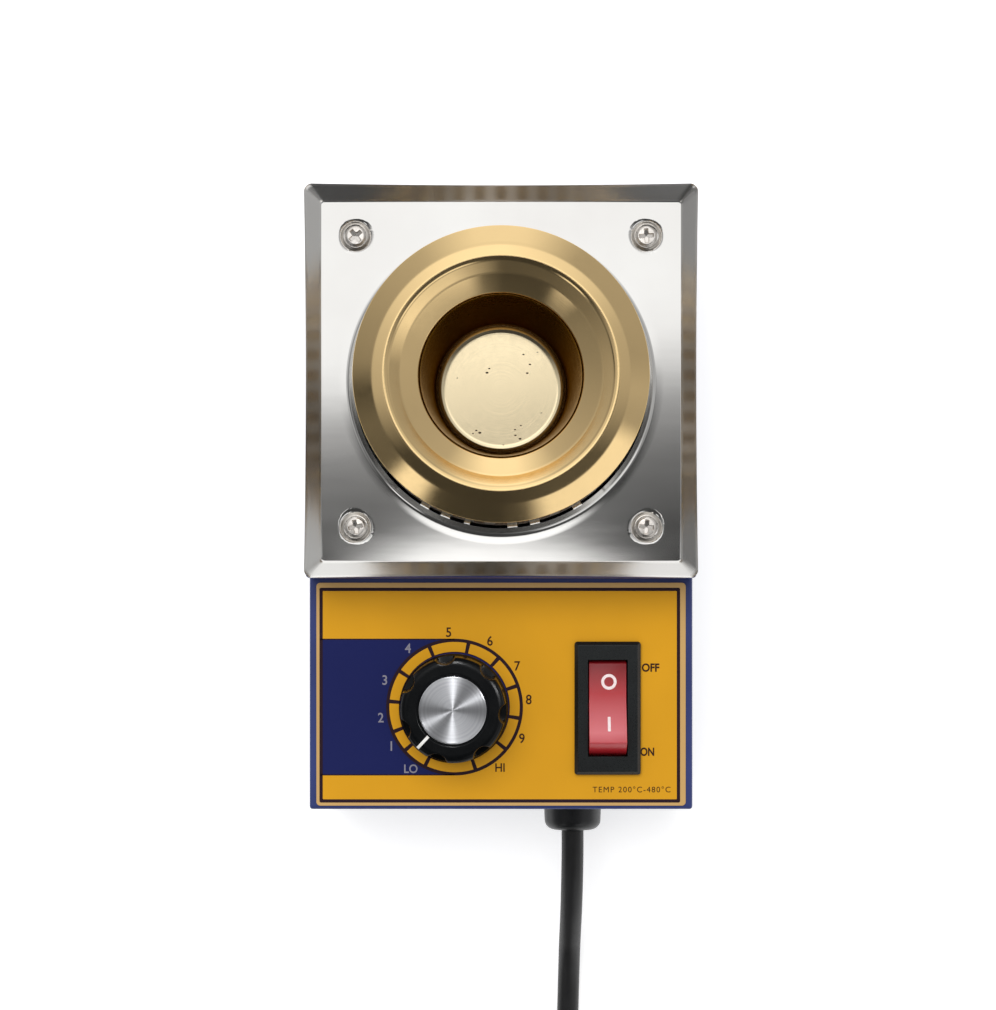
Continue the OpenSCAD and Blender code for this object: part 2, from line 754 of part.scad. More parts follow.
module control_body() {
    body_top = panel_z - sheet_t;
    color("#3a3a3c")
    translate([-knob_left, control_y, 0]) difference() {
        union() {
            translate([0, 0, body_top - control_h]) cylinder(r = control_r, h = control_h);
            translate([0, 0, body_top - cut]) cylinder(r = bush_r, h = bush_top - body_top + cut);
            // wafer that carries the lugs
            translate([-8, control_r - 6, body_top - control_h]) cube([16, 10, 1.6]);
        }
        translate([0, 0, body_top - control_h + 1])
            cylinder(r = shaft_r + shaft_gap, h = control_h + bush_top - body_top);
    }
}
washer_t = 0.6;
bush_nut_h = 2;
bush_top = label_z + washer_t + bush_nut_h + 1;

module control_washer() {
    color("#b9bcc0")
    translate([-knob_left, control_y, label_z]) difference() {
        cylinder(r = bush_r + 2.4, h = washer_t);
        translate([0, 0, -cut]) cylinder(r = bush_r + 0.1, h = washer_t + 2 * cut);
    }
}

module control_nut() {
    color("#b9bcc0")
    translate([-knob_left, control_y, label_z + washer_t])
        hex_nut(2 * bush_r + 3, bush_nut_h, bush_r + 0.03);
}

lug_y = control_y + control_r + 2.2;
lug_h = 6;
lug_z = panel_z - sheet_t - control_h - lug_h;

// Three tinned lugs under the wafer of the control
module control_lugs() {
    color("#c9c6b8")
    for (k = [-1, 0, 1])
        translate([-knob_left + 5 * k - 1, lug_y - 0.3, lug_z]) cube([2, 0.6, lug_h]);
}

// Three wires from the lugs down to the board
module control_wires() {
    color("#d8c23a")
    for (k = [-1, 0, 1]) translate([-knob_left + 5 * k, lug_y, board_top])
        cylinder(r = 0.6, h = lug_z - board_top, $fn = 24);
}

module control_shaft() {
    flat = 0.6;
    top = label_z + knob_lift + knob_h - 2.6;
    low = panel_z - sheet_t - control_h + 1.1;
    color("#c9ccd0")
    translate([-knob_left, control_y, 0]) difference() {
        translate([0, 0, low]) cylinder(r = shaft_r, h = top - low);
        // flat for the set screw
        rotate(screw_turn) translate([shaft_r - flat, -shaft_r, bush_top + 1])
            cube([2 * shaft_r, 2 * shaft_r, top]);
    }
}

module knob() {
    z0 = label_z + knob_lift;
    top_r = grip_r - 0.5;
    body = rounded([
        [0, z0], [knob_r - 0.3, z0], [knob_r, z0 + skirt_h, 0.8],
        [grip_r, z0 + skirt_h + 0.2], [top_r, z0 + knob_h, 1.2], [0, z0 + knob_h]
    ], 5);
    bore_top = z0 + knob_h - 2.3;
    color("#17171a")
    translate([-knob_left, control_y, 0]) difference() {
        rotate_extrude($fn = 96) polygon(body);
        // flutes, with the pointer between two of them
        for (k = [0 : flute_count - 1])
            rotate(90 - pointer_deg + 360 * (k + 0.5) / flute_count)
                translate([grip_r + flute_r - flute_depth, 0, z0 + skirt_h + 0.7])
                    cylinder(r = flute_r, h = knob_h, $fn = 48);
        // hollow over the nut, and the bore
        translate([0, 0, z0 - cut])
            cylinder(r = (2 * bush_r + 3) / 2 / cos(30) + 1, h = bush_top + 0.6 - z0 + cut);
        translate([0, 0, z0]) cylinder(r = shaft_r + 0.03, h = bore_top - z0);
        // seat of the metal cap
        translate([0, 0, z0 + knob_h - cap_t / 2]) cylinder(r = cap_r + 0.05, h = 4);
        // groove of the pointer
        rotate(90 - pointer_deg)
            translate([cap_r + 0.5, -pointer_w / 2, z0 + knob_h - pointer_t])
                cube([top_r - 1.3 - cap_r - 0.5, pointer_w, 4]);
        // hole of the set screw
        rotate(screw_turn) translate([0, 0, screw_z])
            rotate([0, 90, 0]) cylinder(r = screw_r + 0.03, h = 2 * knob_r, $fn = 32);
    }
}
// The set screw sits in the lobe most nearly opposite the pointer
screw_turn = 90 - pointer_deg + 360 * floor(flute_count / 2) / flute_count;
pointer_w = 1.3;
pointer_t = 0.4;
screw_z = label_z + knob_lift + 8;

module knob_cap() {
    z = label_z + knob_lift + knob_h - cap_t / 2;
    color("#c6c8cb")
    translate([-knob_left, control_y, z]) rotate_extrude($fn = 96)
        polygon(rounded([[0, 0, 0], [cap_r, 0, 0], [cap_r, cap_t, cap_t / 3],
                         [0, cap_t, 0]], 4));
}

module knob_pointer() {
    z0 = label_z + knob_lift;
    color("#f2f2f0")
    translate([-knob_left, control_y, 0]) rotate(90 - pointer_deg)
        translate([cap_r + 0.55, -pointer_w / 2 + 0.03, z0 + knob_h - pointer_t])
            cube([grip_r - 0.5 - 1.4 - cap_r - 0.5, pointer_w - 0.06, pointer_t]);
}

module knob_set_screw() {
    color("#55575a")
    translate([-knob_left, control_y, screw_z]) rotate(screw_turn)
        rotate([0, 90, 0]) difference() {
            translate([0, 0, shaft_r - 0.55]) cylinder(r = screw_r, h = 7, $fn = 32);
            translate([-0.3, -2, shaft_r - 0.55 + 6]) cube([0.6, 4, 3]);
        }
}

// ---------- switch ----------

rocker_z = label_z + bezel_h - 6.3;
rocker_tip_z = 8;
rocker_tip_y = 10.33;
rocker_end_r = norm([rocker_tip_z, rocker_tip_y]);

module switch_body() {
    cavity_r = rocker_end_r + 0.35;
    low = panel_z - switch_d;
    color("#151517")
    translate([switch_right, control_y, 0]) difference() {
        union() {
            translate([-switch_w / 2, -switch_l / 2, low])
                cube([switch_w, switch_l, label_z - low + 0.1]);
            // bezel with bevelled edges
            translate([0, 0, label_z]) bezel(bezel_w, bezel_l, bezel_h, 0.9);
        }
        // opening for the rocker
        translate([-rocker_slot_w / 2, -rocker_slot_l / 2, rocker_z + 3.5])
            cube([rocker_slot_w, rocker_slot_l, 20]);
        // hollow that the rocker's ends swing in
        intersection() {
            translate([-rocker_slot_w / 2, 0, rocker_z]) rotate([0, 90, 0])
                cylinder(r = cavity_r, h = rocker_slot_w, $fn = 96);
            translate([-rocker_slot_w / 2, -switch_l / 2 + 0.9, rocker_z - 3.6])
                cube([rocker_slot_w, switch_l - 1.8, 8.4]);
        }
        // hollow for the rocker's stem
        translate([-3, -6, rocker_z - 10]) cube([6, 12, 8]);
        // bearings of the pivot pins
        translate([-switch_w / 2 + 0.6, 0, rocker_z]) rotate([0, 90, 0])
            cylinder(r = pivot_r + pivot_gap, h = switch_w - 1.2, $fn = 32);
        // slots of the blades
        for (y = blade_ys) translate([-3.15 - 0.05, y - 0.45, low - cut])
            cube([6.4, 0.9, 3 + cut]);
    }
}
blade_ys = [-11, 0, 11];

// Rectangle with bevelled top edges, standing on z = 0
module bezel(w, l, h, bevel) {
    intersection() {
        linear_extrude(h) round_rect(w, l, 0.8);
        translate([0, l / 2, 0]) rotate([90, 0, 0]) linear_extrude(l) polygon([
            [-w / 2, 0], [w / 2, 0], [w / 2, h - bevel], [w / 2 - bevel, h],
            [-w / 2 + bevel, h], [-w / 2, h - bevel]
        ]);
        translate([-w / 2, 0, 0]) rotate([90, 0, 90]) linear_extrude(w) polygon([
            [-l / 2, 0], [l / 2, 0], [l / 2, h - bevel], [l / 2 - bevel, h],
            [-l / 2 + bevel, h], [-l / 2, h - bevel]
        ]);
    }
}

// Rocker, tilted so that its rear end is pressed
module rocker() {
    w = rocker_slot_w - 2 * rocker_gap;
    valley = rocker_tip_z - rocker_tip_y * tan(rocker_deg);
    skin = 1.3;
    color("#c0261c")
    translate([switch_right, control_y, rocker_z]) rotate([-rocker_deg, 0, 0]) {
        difference() {
            translate([-w / 2, 0, 0]) rotate([90, 0, 90]) linear_extrude(w)
                intersection() {
                    circle(r = rocker_end_r, $fn = 96);
                    polygon([[-20, 0.8], [20, 0.8], [20, valley + 20 * tan(rocker_deg)],
                             [0, valley], [-20, valley + 20 * tan(rocker_deg)]]);
                }
            // hollow underside, in two halves beside the middle web
            for (side = [-1, 1])
                translate([-w / 2 + skin, side > 0 ? 2.2 : -11.4, 0])
                    cube([w - 2 * skin, 9.2, valley - skin]);
        }
        // pivot hub, pins and stem
        translate([-w / 2, 0, 0]) rotate([0, 90, 0]) cylinder(r = 2.1, h = w, $fn = 32);
        translate([-switch_w / 2 + 0.8, 0, 0]) rotate([0, 90, 0])
            cylinder(r = pivot_r, h = switch_w - 1.6, $fn = 32);
        translate([-2, -1.5, -7]) cube([4, 3, 9]);
    }
}

// Neon lamp lying in the hollow of the switch
module switch_lamp() {
    r = 1.5;
    color("#e8a070")
    translate([switch_right, control_y - 10.6, rocker_z - 3.6 + r]) rotate([-90, 0, 0])
        rotate_extrude() polygon(rounded([[0, 0, 0], [r, 0, 1], [r, 6.4, 1.2], [0, 6.4, 0]], 4));
}

module switch_terminals() {
    color("#c8b070")
    for (y = blade_ys) translate([switch_right - 3.15, control_y + y - 0.4, blade_low])
        difference() {
            cube([6.3, 0.8, 12]);
            translate([3.15, -cut, 3.5]) rotate([-90, 0, 0]) cylinder(r = 0.8, h = 3, $fn = 24);
        }
}

// ---------- circuit board ----------

board_c = [-case_w / 2 + sheet_t + board_in + board_w / 2,
           front_y + sheet_t + board_in_y + board_l / 2, 0];
board_z = base_top + pillar_h;
board_top = board_z + board_t;
pillar_x = board_w / 2 - 4;
pillar_y = board_l / 2 - 4;
stud_r = 2;
ring_r = 4;
ring_gap = 1.05;
stud_l = 8;
stud_in_y = 12;
stud_at = [case_w / 2 - sheet_t - flange_w - ring_gap - ring_r, step_y - stud_in_y, 0];

module circuit_board() {
    color("#8c6a34")
    translate(board_c + [0, 0, board_z]) difference() {
        translate([-board_w / 2, -board_l / 2, 0]) cube([board_w, board_l, board_t]);
        at_corners(pillar_x, pillar_y, [0, 0, -cut])
            cylinder(r = screw_r + hole_gap, h = board_t + 2 * cut);
    }
}

// Tapped pillars between the base plate and the board
module board_pillars() {
    color("#c8b070")
    at_corners(pillar_x, pillar_y, board_c + [0, 0, base_top]) difference() {
        cylinder(d = 6.35, h = pillar_h, $fn = 6);
        translate([0, 0, -cut]) cylinder(r = screw_r + 0.03, h = pillar_h + 2 * cut, $fn = 32);
    }
}

module board_screws() {
    color("#b9bcc0") {
        at_corners(pillar_x, pillar_y, board_c + [0, 0, board_top])
            pan_screw(board_t + 3.6);
        at_corners(pillar_x, pillar_y, board_c + [0, 0, foot_h])
            mirror([0, 0, 1]) pan_screw(sheet_t + 4);
    }
}

// Finned heat sink at the left edge of the board
sink_x = -board_w / 2 + 1;

module heat_sink() {
    color("#a9abae")
    translate(board_c + [sink_x, -10, board_top])
        linear_extrude(18) {
            translate([7, 0]) square([2, 20]);
            for (k = [0 : 4]) translate([0, 4.5 * k]) square([7.2, 2]);
        }
}

module triac() {
    color("#202022")
    translate(board_c + [sink_x + 9, 4, board_top]) {
        translate([0, -5, 4]) cube([1.3, 10, 13.5]);
        translate([1.2, -5, 4]) cube([3.2, 10, 9]);
        for (k = [-1, 0, 1]) translate([2, 2.54 * k - 0.4, 0]) cube([0.5, 0.8, 4.5]);
    }
}

module capacitor() {
    color("#c9a227")
    translate(board_c + [-8, 8, board_top]) {
        translate([0, 0, 0.6]) cube([18, 7.5, 14]);
        for (x = [1.5, 15.5]) translate([x, 3.4, 0]) cube([0.8, 0.8, 1]);
    }
}

module choke() {
    color("#b5651d")
    translate(board_c + [-2, -7.5, board_top]) rotate_extrude($fn = 48)
        polygon(rounded([[5, 0], [9.5, 0, 2], [9.5, 9, 2], [4, 9, 2], [4, 0, 0.5], [5, 0]], 4));
}

module resistors() {
    color("#b59b6a")
    for (k = [0, 1])
        translate(board_c + [9.6 + 2.8 * k, -16, board_top + 1.3]) {
            rotate([-90, 0, 0]) cylinder(r = 1.2, h = 5, $fn = 24);
            for (y = [-0.9, 4.9]) translate([-0.35, y, -1.3]) cube([0.7, 1, 1.6]);
        }
}

// Terminal block, with three wells at this spacing
well_pitch = 6;
block_w = 10;
block_l = 3 * well_pitch;
block_h = 11;
block_right = board_c[0] + board_w / 2 - 1;
block_rear_y = board_c[1] + block_l / 2;
block_wire_z = board_top + 5.5;

module terminal_block() {
    color("#e6e4dc")
    translate([block_right - block_w, block_rear_y - block_l, board_top]) difference() {
        cube([block_w, block_l, block_h]);
        // wells of the clamp screws
        for (k = [0.5, 1.5, 2.5]) translate([block_w / 2, well_pitch * k, block_h - 3])
            cylinder(r = 1.9, h = 3 + cut, $fn = 32);
    }
}

// ---------- wires inside ----------

// Length of the gland inside the case, and where the cord's sheath ends
gland_inner = 14;
sheath_end = front_y + gland_inner + 6;
wire_r = 0.9;
blade_low = panel_z - switch_d - 9;

// Straight length of a wire out of the sheath, and its reach round a bend
wire_out = 2;
wire_bend = 6;
// Offset of each wire inside the sheath
wire_pitch = 1.4;
// Clear of the block and of the board's right edge
past_block = block_right + 3;
past_board = max(gland_right, board_c[0] + board_w / 2 + 2 * wire_r);

module live_wire() {
    x = gland_right + 1.2;
    back = control_y + blade_ys[2];
    color("#6b3a1e") swept_tube([
        [x, sheath_end, gland_z], [x, sheath_end + wire_out, gland_z],
        [x + 1.8, sheath_end + wire_bend, gland_z - 4],
        [switch_right - wire_bend / 2, control_y + 2, blade_low - wire_bend],
        [switch_right - 0.5, back - wire_bend / 2, blade_low - wire_bend],
        [switch_right, back, blade_low - 3.5], [switch_right, back, blade_low]
    ], wire_r, 8);
}

module switched_wire() {
    y = block_rear_y - 1.5 * well_pitch;
    color("#202022") swept_tube([
        [switch_right, control_y, blade_low], [switch_right, control_y, blade_low - 2.5],
        [switch_right + 1, control_y + wire_bend / 2, blade_low - 4.5],
        [switch_right - 2, control_y + wire_bend, blade_low - 3],
        [switch_right - 1.5 * wire_bend, y, block_wire_z - 2],
        [past_block, y, block_wire_z], [block_right, y, block_wire_z]
    ], wire_r, 8);
}

module neutral_wire() {
    x = gland_right - 1.6;
    z = gland_z + 0.8;
    y = block_rear_y - 2.5 * well_pitch;
    color("#2f5fae") swept_tube([
        [x, sheath_end, z], [x, sheath_end + wire_out, z],
        [max(x - wire_pitch, past_block + 1), sheath_end + 7, block_wire_z],
        [past_block, y, block_wire_z], [block_right, y, block_wire_z]
    ], wire_r, 8);
}

module earth_wire() {
    x = gland_right - 0.2;
    z = gland_z - 1.8;
    lie_z = base_top + wire_r + 0.5;
    color("#7aa52e") swept_tube([
        [x, sheath_end, z], [x, sheath_end + wire_out, z],
        [past_board - 0.5, sheath_end + wire_bend, gland_z - wire_bend],
        [past_board, sheath_end + 2 * wire_bend, lie_z + 2.9],
        [past_board + 2, stud_at[1] - ring_r - 1, lie_z],
        [stud_at[0] - ring_tail - 3, stud_at[1], lie_z],
        [stud_at[0] - ring_tail, stud_at[1], lie_z]
    ], wire_r, 8);
}
// Length of the ring terminal's tail, from the stud's axis
ring_tail = 7;
ring_t = 0.8;

module ring_terminal() {
    color("#c9b28a")
    translate([stud_at[0], stud_at[1], base_top]) difference() {
        union() {
            cylinder(r = ring_r, h = ring_t);
            translate([-ring_tail + 1, -1.4, 0]) cube([ring_tail - 1, 2.8, ring_t]);
            translate([-ring_tail, -1.4, 0]) cube([1.6, 2.8, 2.6]);
        }
        translate([0, 0, -cut]) cylinder(r = stud_r + 0.1, h = ring_t + 2 * cut);
    }
}

module earth_stud() {
    color("#c8b070")
    translate([stud_at[0], stud_at[1], foot_h]) mirror([0, 0, 1])
        pan_screw(sheet_t + stud_l, stud_r, 3.6, 2.2);
}

module earth_nut() {
    color("#c8b070")
    translate([stud_at[0], stud_at[1], base_top + ring_t]) hex_nut(7, 3, stud_r + 0.03);
}

// ---------- gland and mains lead ----------

module cord_gland() {
    color("#141416")
    translate([gland_right, front_y, gland_z]) rotate([90, 0, 0]) difference() {
        rotate_extrude() polygon(concat(
            [[0, -gland_inner], [4.4, -gland_inner], [gland_neck_r, -gland_inner + 6],
             [gland_neck_r, 0], [gland_r, 0]],
            rounded([[gland_r, 0, 0], [gland_r - 0.35, gland_out, 2.6], [0, gland_out, 0]], 8)));
        translate([0, 0, -gland_inner - cut])
            cylinder(r = cord_r + 0.05, h = gland_inner + gland_out + 2 * cut);
    }
}

module gland_nut() {
    color("#1d1d20")
    translate([gland_right, front_y + sheet_t, gland_z]) rotate([-90, 0, 0])
        hex_nut(2 * gland_neck_r + 4, 4, gland_neck_r + 0.03);
}

// End of the cord's sheath inside the gland and the case
module cord_inner_end() {
    color("#161618")
    translate([gland_right, front_y - gland_out, gland_z]) rotate([-90, 0, 0])
        cylinder(r = cord_r, h = sheath_end - front_y + gland_out);
}

// Route of the cord from the gland, down to the bench and on to the coil
cord_route = [
    [19.5, -87.8, 22], [19.5, -94, 22], [19.4, -102, 21], [19.3, -109.5, 17.5],
    [19.2, -116, 12.5], [19.1, -122, 7.5], [19, -129.5, 4], [18.8, -138, 3],
    [18.5, -150, 3], [18.2, -164, 3], [18, -177, 3], [18, -190, 3]
];
// Route of the cord from the coil to the plug
tail_route = [
    [18, -190, 9], [18, -194, 9], [18.8, -199, 9.5], [20.2, -204, 10.2], [21.5, -209, 10.8],
    [22, -213, 11], [22, -216, 11]
];
plug_at = tail_route[len(tail_route) - 1];
// The cord joins the outer turn of the coil at its right-hand side
coil_at = [cord_route[len(cord_route) - 1][0] - coil_mid_r - (coil_columns - 1) * cord_r,
           cord_route[len(cord_route) - 1][1], 0];

module cord_run() {
    color("#161618") swept_tube(cord_route, cord_r, 10);
}

module cord_tail() {
    color("#161618") swept_tube(tail_route, cord_r, 10);
}

coil_w = 2 * coil_columns * cord_r;
coil_h = 2 * coil_layers * cord_r;
end_gap = 0.05;

module cord_coil() {
    out_r = coil_mid_r + coil_w / 2;
    end_x = out_r - 2 * cord_r - 0.1;
    end_l = sqrt(pow(out_r, 2) - pow(end_x, 2)) + 1;
    color("#161618")
    translate(coil_at) difference() {
        rotate_extrude($fn = 96) translate([coil_mid_r, coil_h / 2])
            round_rect(coil_w, coil_h, cord_r * 0.9);
        // space for the tie, and for the two ends of the cord
        rotate(tie_deg) translate([coil_mid_r, 0, 0]) around_tie();
        translate([end_x, 0, -cut]) cube([4 * cord_r, end_l, 2 * cord_r + cut + end_gap]);
        translate([end_x, -end_l, 2 * cord_r - end_gap]) cube([4 * cord_r, end_l, coil_h]);
    }
}
tie_deg = 150;
tie_t = 0.8;
tie_w = 8;

// Everything outside the inner outline of the tie, over its width
module around_tie() {
    inset = tie_t + 0.05;
    rotate([90, 0, 0]) translate([0, 0, -tie_w / 2 - 0.2]) linear_extrude(tie_w + 0.4)
        difference() {
            translate([-coil_w, -cut]) square([2 * coil_w, coil_h + 2 * cut]);
            translate([-coil_w / 2 + inset, inset])
                square([coil_w - 2 * inset, coil_h - 2 * inset]);
        }
}

module coil_tie() {
    color("#0f0f10")
    translate(coil_at) rotate(tie_deg) translate([coil_mid_r, 0, 0])
        rotate([90, 0, 0]) translate([0, 0, -tie_w / 2]) linear_extrude(tie_w) difference() {
            translate([-coil_w / 2, 0]) square([coil_w, coil_h]);
            translate([-coil_w / 2 + tie_t, tie_t])
                square([coil_w - 2 * tie_t, coil_h - 2 * tie_t]);
        }
}

// Plug: a tapered strain relief, then the body, with the pins' seats from pin_z on
relief_l = 18;
relief_r = cord_r + 1.2;
plug_taper = 9;
seat_l = 4;
pin_z = relief_l + plug_l - seat_l;
blade_x = 6.35;
blade_w = 6.3;
blade_t = 1.5;
blade_l = 20;
earth_r = 2.4;
earth_l = 23;
earth_y = -7;

// The two flat blades, of length l
module plug_blades(l) {
    for (x = [-blade_x, blade_x])
        translate([x - blade_t / 2, -0.7, pin_z]) cube([blade_t, blade_w, l]);
}

module plug_body() {
    half = plug_w / 2;
    color("#161618")
    translate(plug_at) rotate([90, 0, 0]) difference() {
        union() {
            rotate_extrude() polygon([
                [0, 0], [relief_r, 0], [relief_r + 2, relief_l], [0, relief_l]
            ]);
            translate([0, 0, relief_l]) intersection() {
                linear_extrude(plug_l) round_rect(plug_w, plug_t, 4);
                translate([0, plug_t, 0]) rotate([90, 0, 0]) linear_extrude(2 * plug_t) polygon([
                    [4 - half, 0], [half - 4, 0], [half, plug_taper],
                    [half, plug_l], [-half, plug_l], [-half, plug_taper]
                ]);
            }
        }
        // seats of the pins
        plug_blades(seat_l + cut);
        translate([0, earth_y, pin_z]) cylinder(r = earth_r, h = seat_l + cut, $fn = 32);
    }
}

module plug_pins() {
    color("#c8b070")
    translate(plug_at) rotate([90, 0, 0]) {
        plug_blades(blade_l);
        translate([0, earth_y, pin_z]) rotate_extrude($fn = 32) polygon(rounded([
            [0, 0], [earth_r, 0], [earth_r, earth_l, 1.6], [0, earth_l]
        ], 4));
    }
}

rubber_feet();
foot_screws();
base_plate();
base_screws();
housing();
tray();
tray_screws();
m3_nuts();
crucible();
heater_shroud();
insulation_disc();
heater_former();
heater_winding();
heater_sleeve();
insulation_sleeve();
heater_bracket();
bracket_screws();
heater_leads();
panel_label();
control_body();
control_washer();
control_nut();
control_lugs();
control_shaft();
knob();
knob_cap();
knob_pointer();
knob_set_screw();
switch_body();
rocker();
switch_lamp();
switch_terminals();
circuit_board();
board_pillars();
board_screws();
triac();
heat_sink();
capacitor();
choke();
resistors();
terminal_block();
control_wires();
live_wire();
switched_wire();
neutral_wire();
earth_wire();
ring_terminal();
earth_stud();
earth_nut();
cord_gland();
gland_nut();
cord_inner_end();
cord_run();
cord_coil();
coil_tie();
cord_tail();
plug_body();
plug_pins();
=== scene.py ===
"""Surfaces, finishes and studio of a small electric solder pot."""

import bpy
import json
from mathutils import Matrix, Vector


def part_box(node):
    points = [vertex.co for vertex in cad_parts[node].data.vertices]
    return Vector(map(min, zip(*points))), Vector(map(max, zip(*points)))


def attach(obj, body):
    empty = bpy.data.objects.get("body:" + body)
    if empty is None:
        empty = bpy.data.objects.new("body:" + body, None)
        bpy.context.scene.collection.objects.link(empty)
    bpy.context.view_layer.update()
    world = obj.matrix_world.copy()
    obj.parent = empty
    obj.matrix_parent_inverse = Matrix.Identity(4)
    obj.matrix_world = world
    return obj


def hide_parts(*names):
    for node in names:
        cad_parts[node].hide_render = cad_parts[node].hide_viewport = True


bl_info = {
    "name": "Solder Pot",
    "version": (1, 0, 0),
    "blender": (4, 5, 0),
    "location": "3D View > Sidebar > Solder Pot",
    "description": "Dresses a small electric solder pot and lights it as in a studio",
    "category": "Add Mesh",
}

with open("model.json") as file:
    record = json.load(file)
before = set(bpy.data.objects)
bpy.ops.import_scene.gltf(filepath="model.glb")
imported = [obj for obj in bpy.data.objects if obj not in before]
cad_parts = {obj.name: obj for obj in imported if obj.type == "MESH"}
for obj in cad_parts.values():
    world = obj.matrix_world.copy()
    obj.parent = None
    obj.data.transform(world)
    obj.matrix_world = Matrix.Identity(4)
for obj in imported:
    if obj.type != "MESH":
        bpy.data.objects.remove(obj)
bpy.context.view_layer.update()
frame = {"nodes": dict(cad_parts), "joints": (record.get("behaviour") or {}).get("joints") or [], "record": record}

import json
import math

import bmesh
import bpy
import numpy as np
from mathutils import Vector

MM = 0.001
SLOT_OF = {part["node"]: part["material_slot"] for part in frame["record"]["subparts"]}
TURN = 2 * np.pi


def place(node):
    """Lowest and highest corner of a CAD node, in millimetres."""
    low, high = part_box(node)
    return np.array(low) / MM, np.array(high) / MM


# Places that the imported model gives, in millimetres
POT_LOW, POT_HIGH = place("crucible")
TRAY_LOW, TRAY_HIGH = place("tray")
KNOB_LOW, KNOB_HIGH = place("knob")
CAP_LOW, CAP_HIGH = place("knob_cap")
LABEL_LOW, LABEL_HIGH = place("panel_label")
SWITCH_LOW, SWITCH_HIGH = place("switch_body")
SCREW_LOW, SCREW_HIGH = place("tray_screws")
SHROUD_LOW, SHROUD_HIGH = place("heater_shroud")
PLUG_LOW, PLUG_HIGH = place("plug_body")
POT_AXIS = (POT_LOW + POT_HIGH)[:2] / 2
KNOB_AXIS = (KNOB_LOW + KNOB_HIGH)[:2] / 2
SWITCH_AXIS = (SWITCH_LOW + SWITCH_HIGH)[:2] / 2
PRINT_Z = LABEL_HIGH[2]
# The rocker's tips, from its pivot
TIP_Y, TIP_Z = 10.33, 8.0


def linear(code):
    """Turns an sRGB hex colour into linear red, green and blue."""
    values = np.array([int(code[i:i + 2], 16) for i in (1, 3, 5)]) / 255
    return tuple(np.where(values > 0.04045, ((values + 0.055) / 1.055) ** 2.4, values / 12.92))


# ---------- settings ----------


def length(name, about, size_mm):
    """A length among the settings."""
    return bpy.props.FloatProperty(name=name, description=about, default=size_mm * MM,
                                   unit="LENGTH")


def hue(name, about, code):
    """A colour among the settings."""
    return bpy.props.FloatVectorProperty(name=name, description=about, default=linear(code),
                                         subtype="COLOR")


class PotSizes(bpy.types.PropertyGroup):
    """Sizes of the pieces that are built here."""

    sheet: length("Tray sheet", "Thickness of the tray's sheet", 0.7)
    wall: length("Crucible wall", "Thickness of the crucible's wall", 0.8)
    cord: length("Cord", "Diameter of the mains cord", 6)
    flutes: bpy.props.IntProperty(
        name="Flutes", description="Number of flutes round the knob", default=7, min=3)
    pointer: bpy.props.FloatProperty(
        name="Pointer", description="Direction of the pointer, clockwise from the rear",
        default=math.radians(-137), subtype="ANGLE")


class PotColours(bpy.types.PropertyGroup):
    """Colours that a user would change."""

    case: hue("Case", "Powder coat of the case", "#333f78")
    panel: hue("Panel", "Ground colour of the printed film", "#e0a11c")
    field: hue("Field", "Printed field beside the dial", "#161e58")
    rocker: hue("Rocker", "Translucent rocker of the switch", "#b2262e")
    gold: hue("Crucible", "Hard coat of the crucible", "#f5d59b")


class PotStudio(bpy.types.PropertyGroup):
    """Camera, lamps and floor."""

    height: length("Camera height", "Height of the camera over the bench", 665)
    lens: bpy.props.FloatProperty(
        name="Lens", description="Focal length in millimetres", default=84.05)
    ambient: bpy.props.FloatProperty(
        name="Ambient", description="Strength of the even light", default=0.58, min=0)
    key: bpy.props.FloatProperty(
        name="Key lamp", description="Power of the soft lamp overhead", default=5.25, min=0,
        unit="POWER")


# ---------- shapes ----------


def rounded(corners, steps):
    """Path whose corners (x, y, radius) are replaced by circular arcs.

    Each arc touches both straight sides, its centre on their bisector at radius / sin(half angle).
    """
    out = []
    last = len(corners) - 1
    for i, corner in enumerate(corners):
        p = np.array(corner[:2], float)
        radius = corner[2] if len(corner) > 2 else 0
        if i in (0, last) or not radius:
            out.append(p[None])
            continue
        u = np.array(corners[i - 1][:2]) - p
        v = np.array(corners[i + 1][:2]) - p
        u, v = u / np.linalg.norm(u), v / np.linalg.norm(v)
        half = math.acos(np.clip(u @ v, -1, 1)) / 2
        middle = p + (u + v) / np.linalg.norm(u + v) * radius / math.sin(half)
        start = p + u * radius / math.tan(half) - middle
        side = math.copysign(1, -(u[0] * v[1] - u[1] * v[0]))
        angle = side * np.linspace(0, math.pi - 2 * half, steps + 1)
        cos, sin = np.cos(angle), np.sin(angle)
        out.append(middle + np.stack(
            [start[0] * cos - start[1] * sin, start[0] * sin + start[1] * cos], -1))
    return np.concatenate(out)


def beside(path, distance):
    """Path moved sideways by a distance, to the right of its direction, along its normals."""
    way = np.gradient(path, axis=0)
    way /= np.linalg.norm(way, axis=1)[:, None]
    return path + distance * np.stack([way[:, 1], -way[:, 0]], -1)


def grid(points, close_u, close_v):
    """Points [u, v, 3] as a list and the quads between neighbours, wrapping where asked."""
    index = np.arange(points.shape[0] * points.shape[1]).reshape(points.shape[:2])
    if close_u:
        index = np.vstack([index, index[:1]])
    if close_v:
        index = np.hstack([index, index[:, :1]])
    quads = np.stack([index[:-1, :-1], index[1:, :-1], index[1:, 1:], index[:-1, 1:]], -1)
    return points.reshape(-1, 3), quads.reshape(-1, 4).tolist()


def around(sides):
    """Angles of evenly spaced sides, once round."""
    return np.linspace(0, TURN, sides, endpoint=False)


def turned(profile, axis, sides=192):
    """Surface of revolution: x = r cos a, y = r sin a, z = h for each (r, h) of the profile."""
    angle = around(sides)[:, None]
    r, h = profile.T
    return grid(swung(axis, 0.0, r * np.cos(angle), r * np.sin(angle), h), True, False)


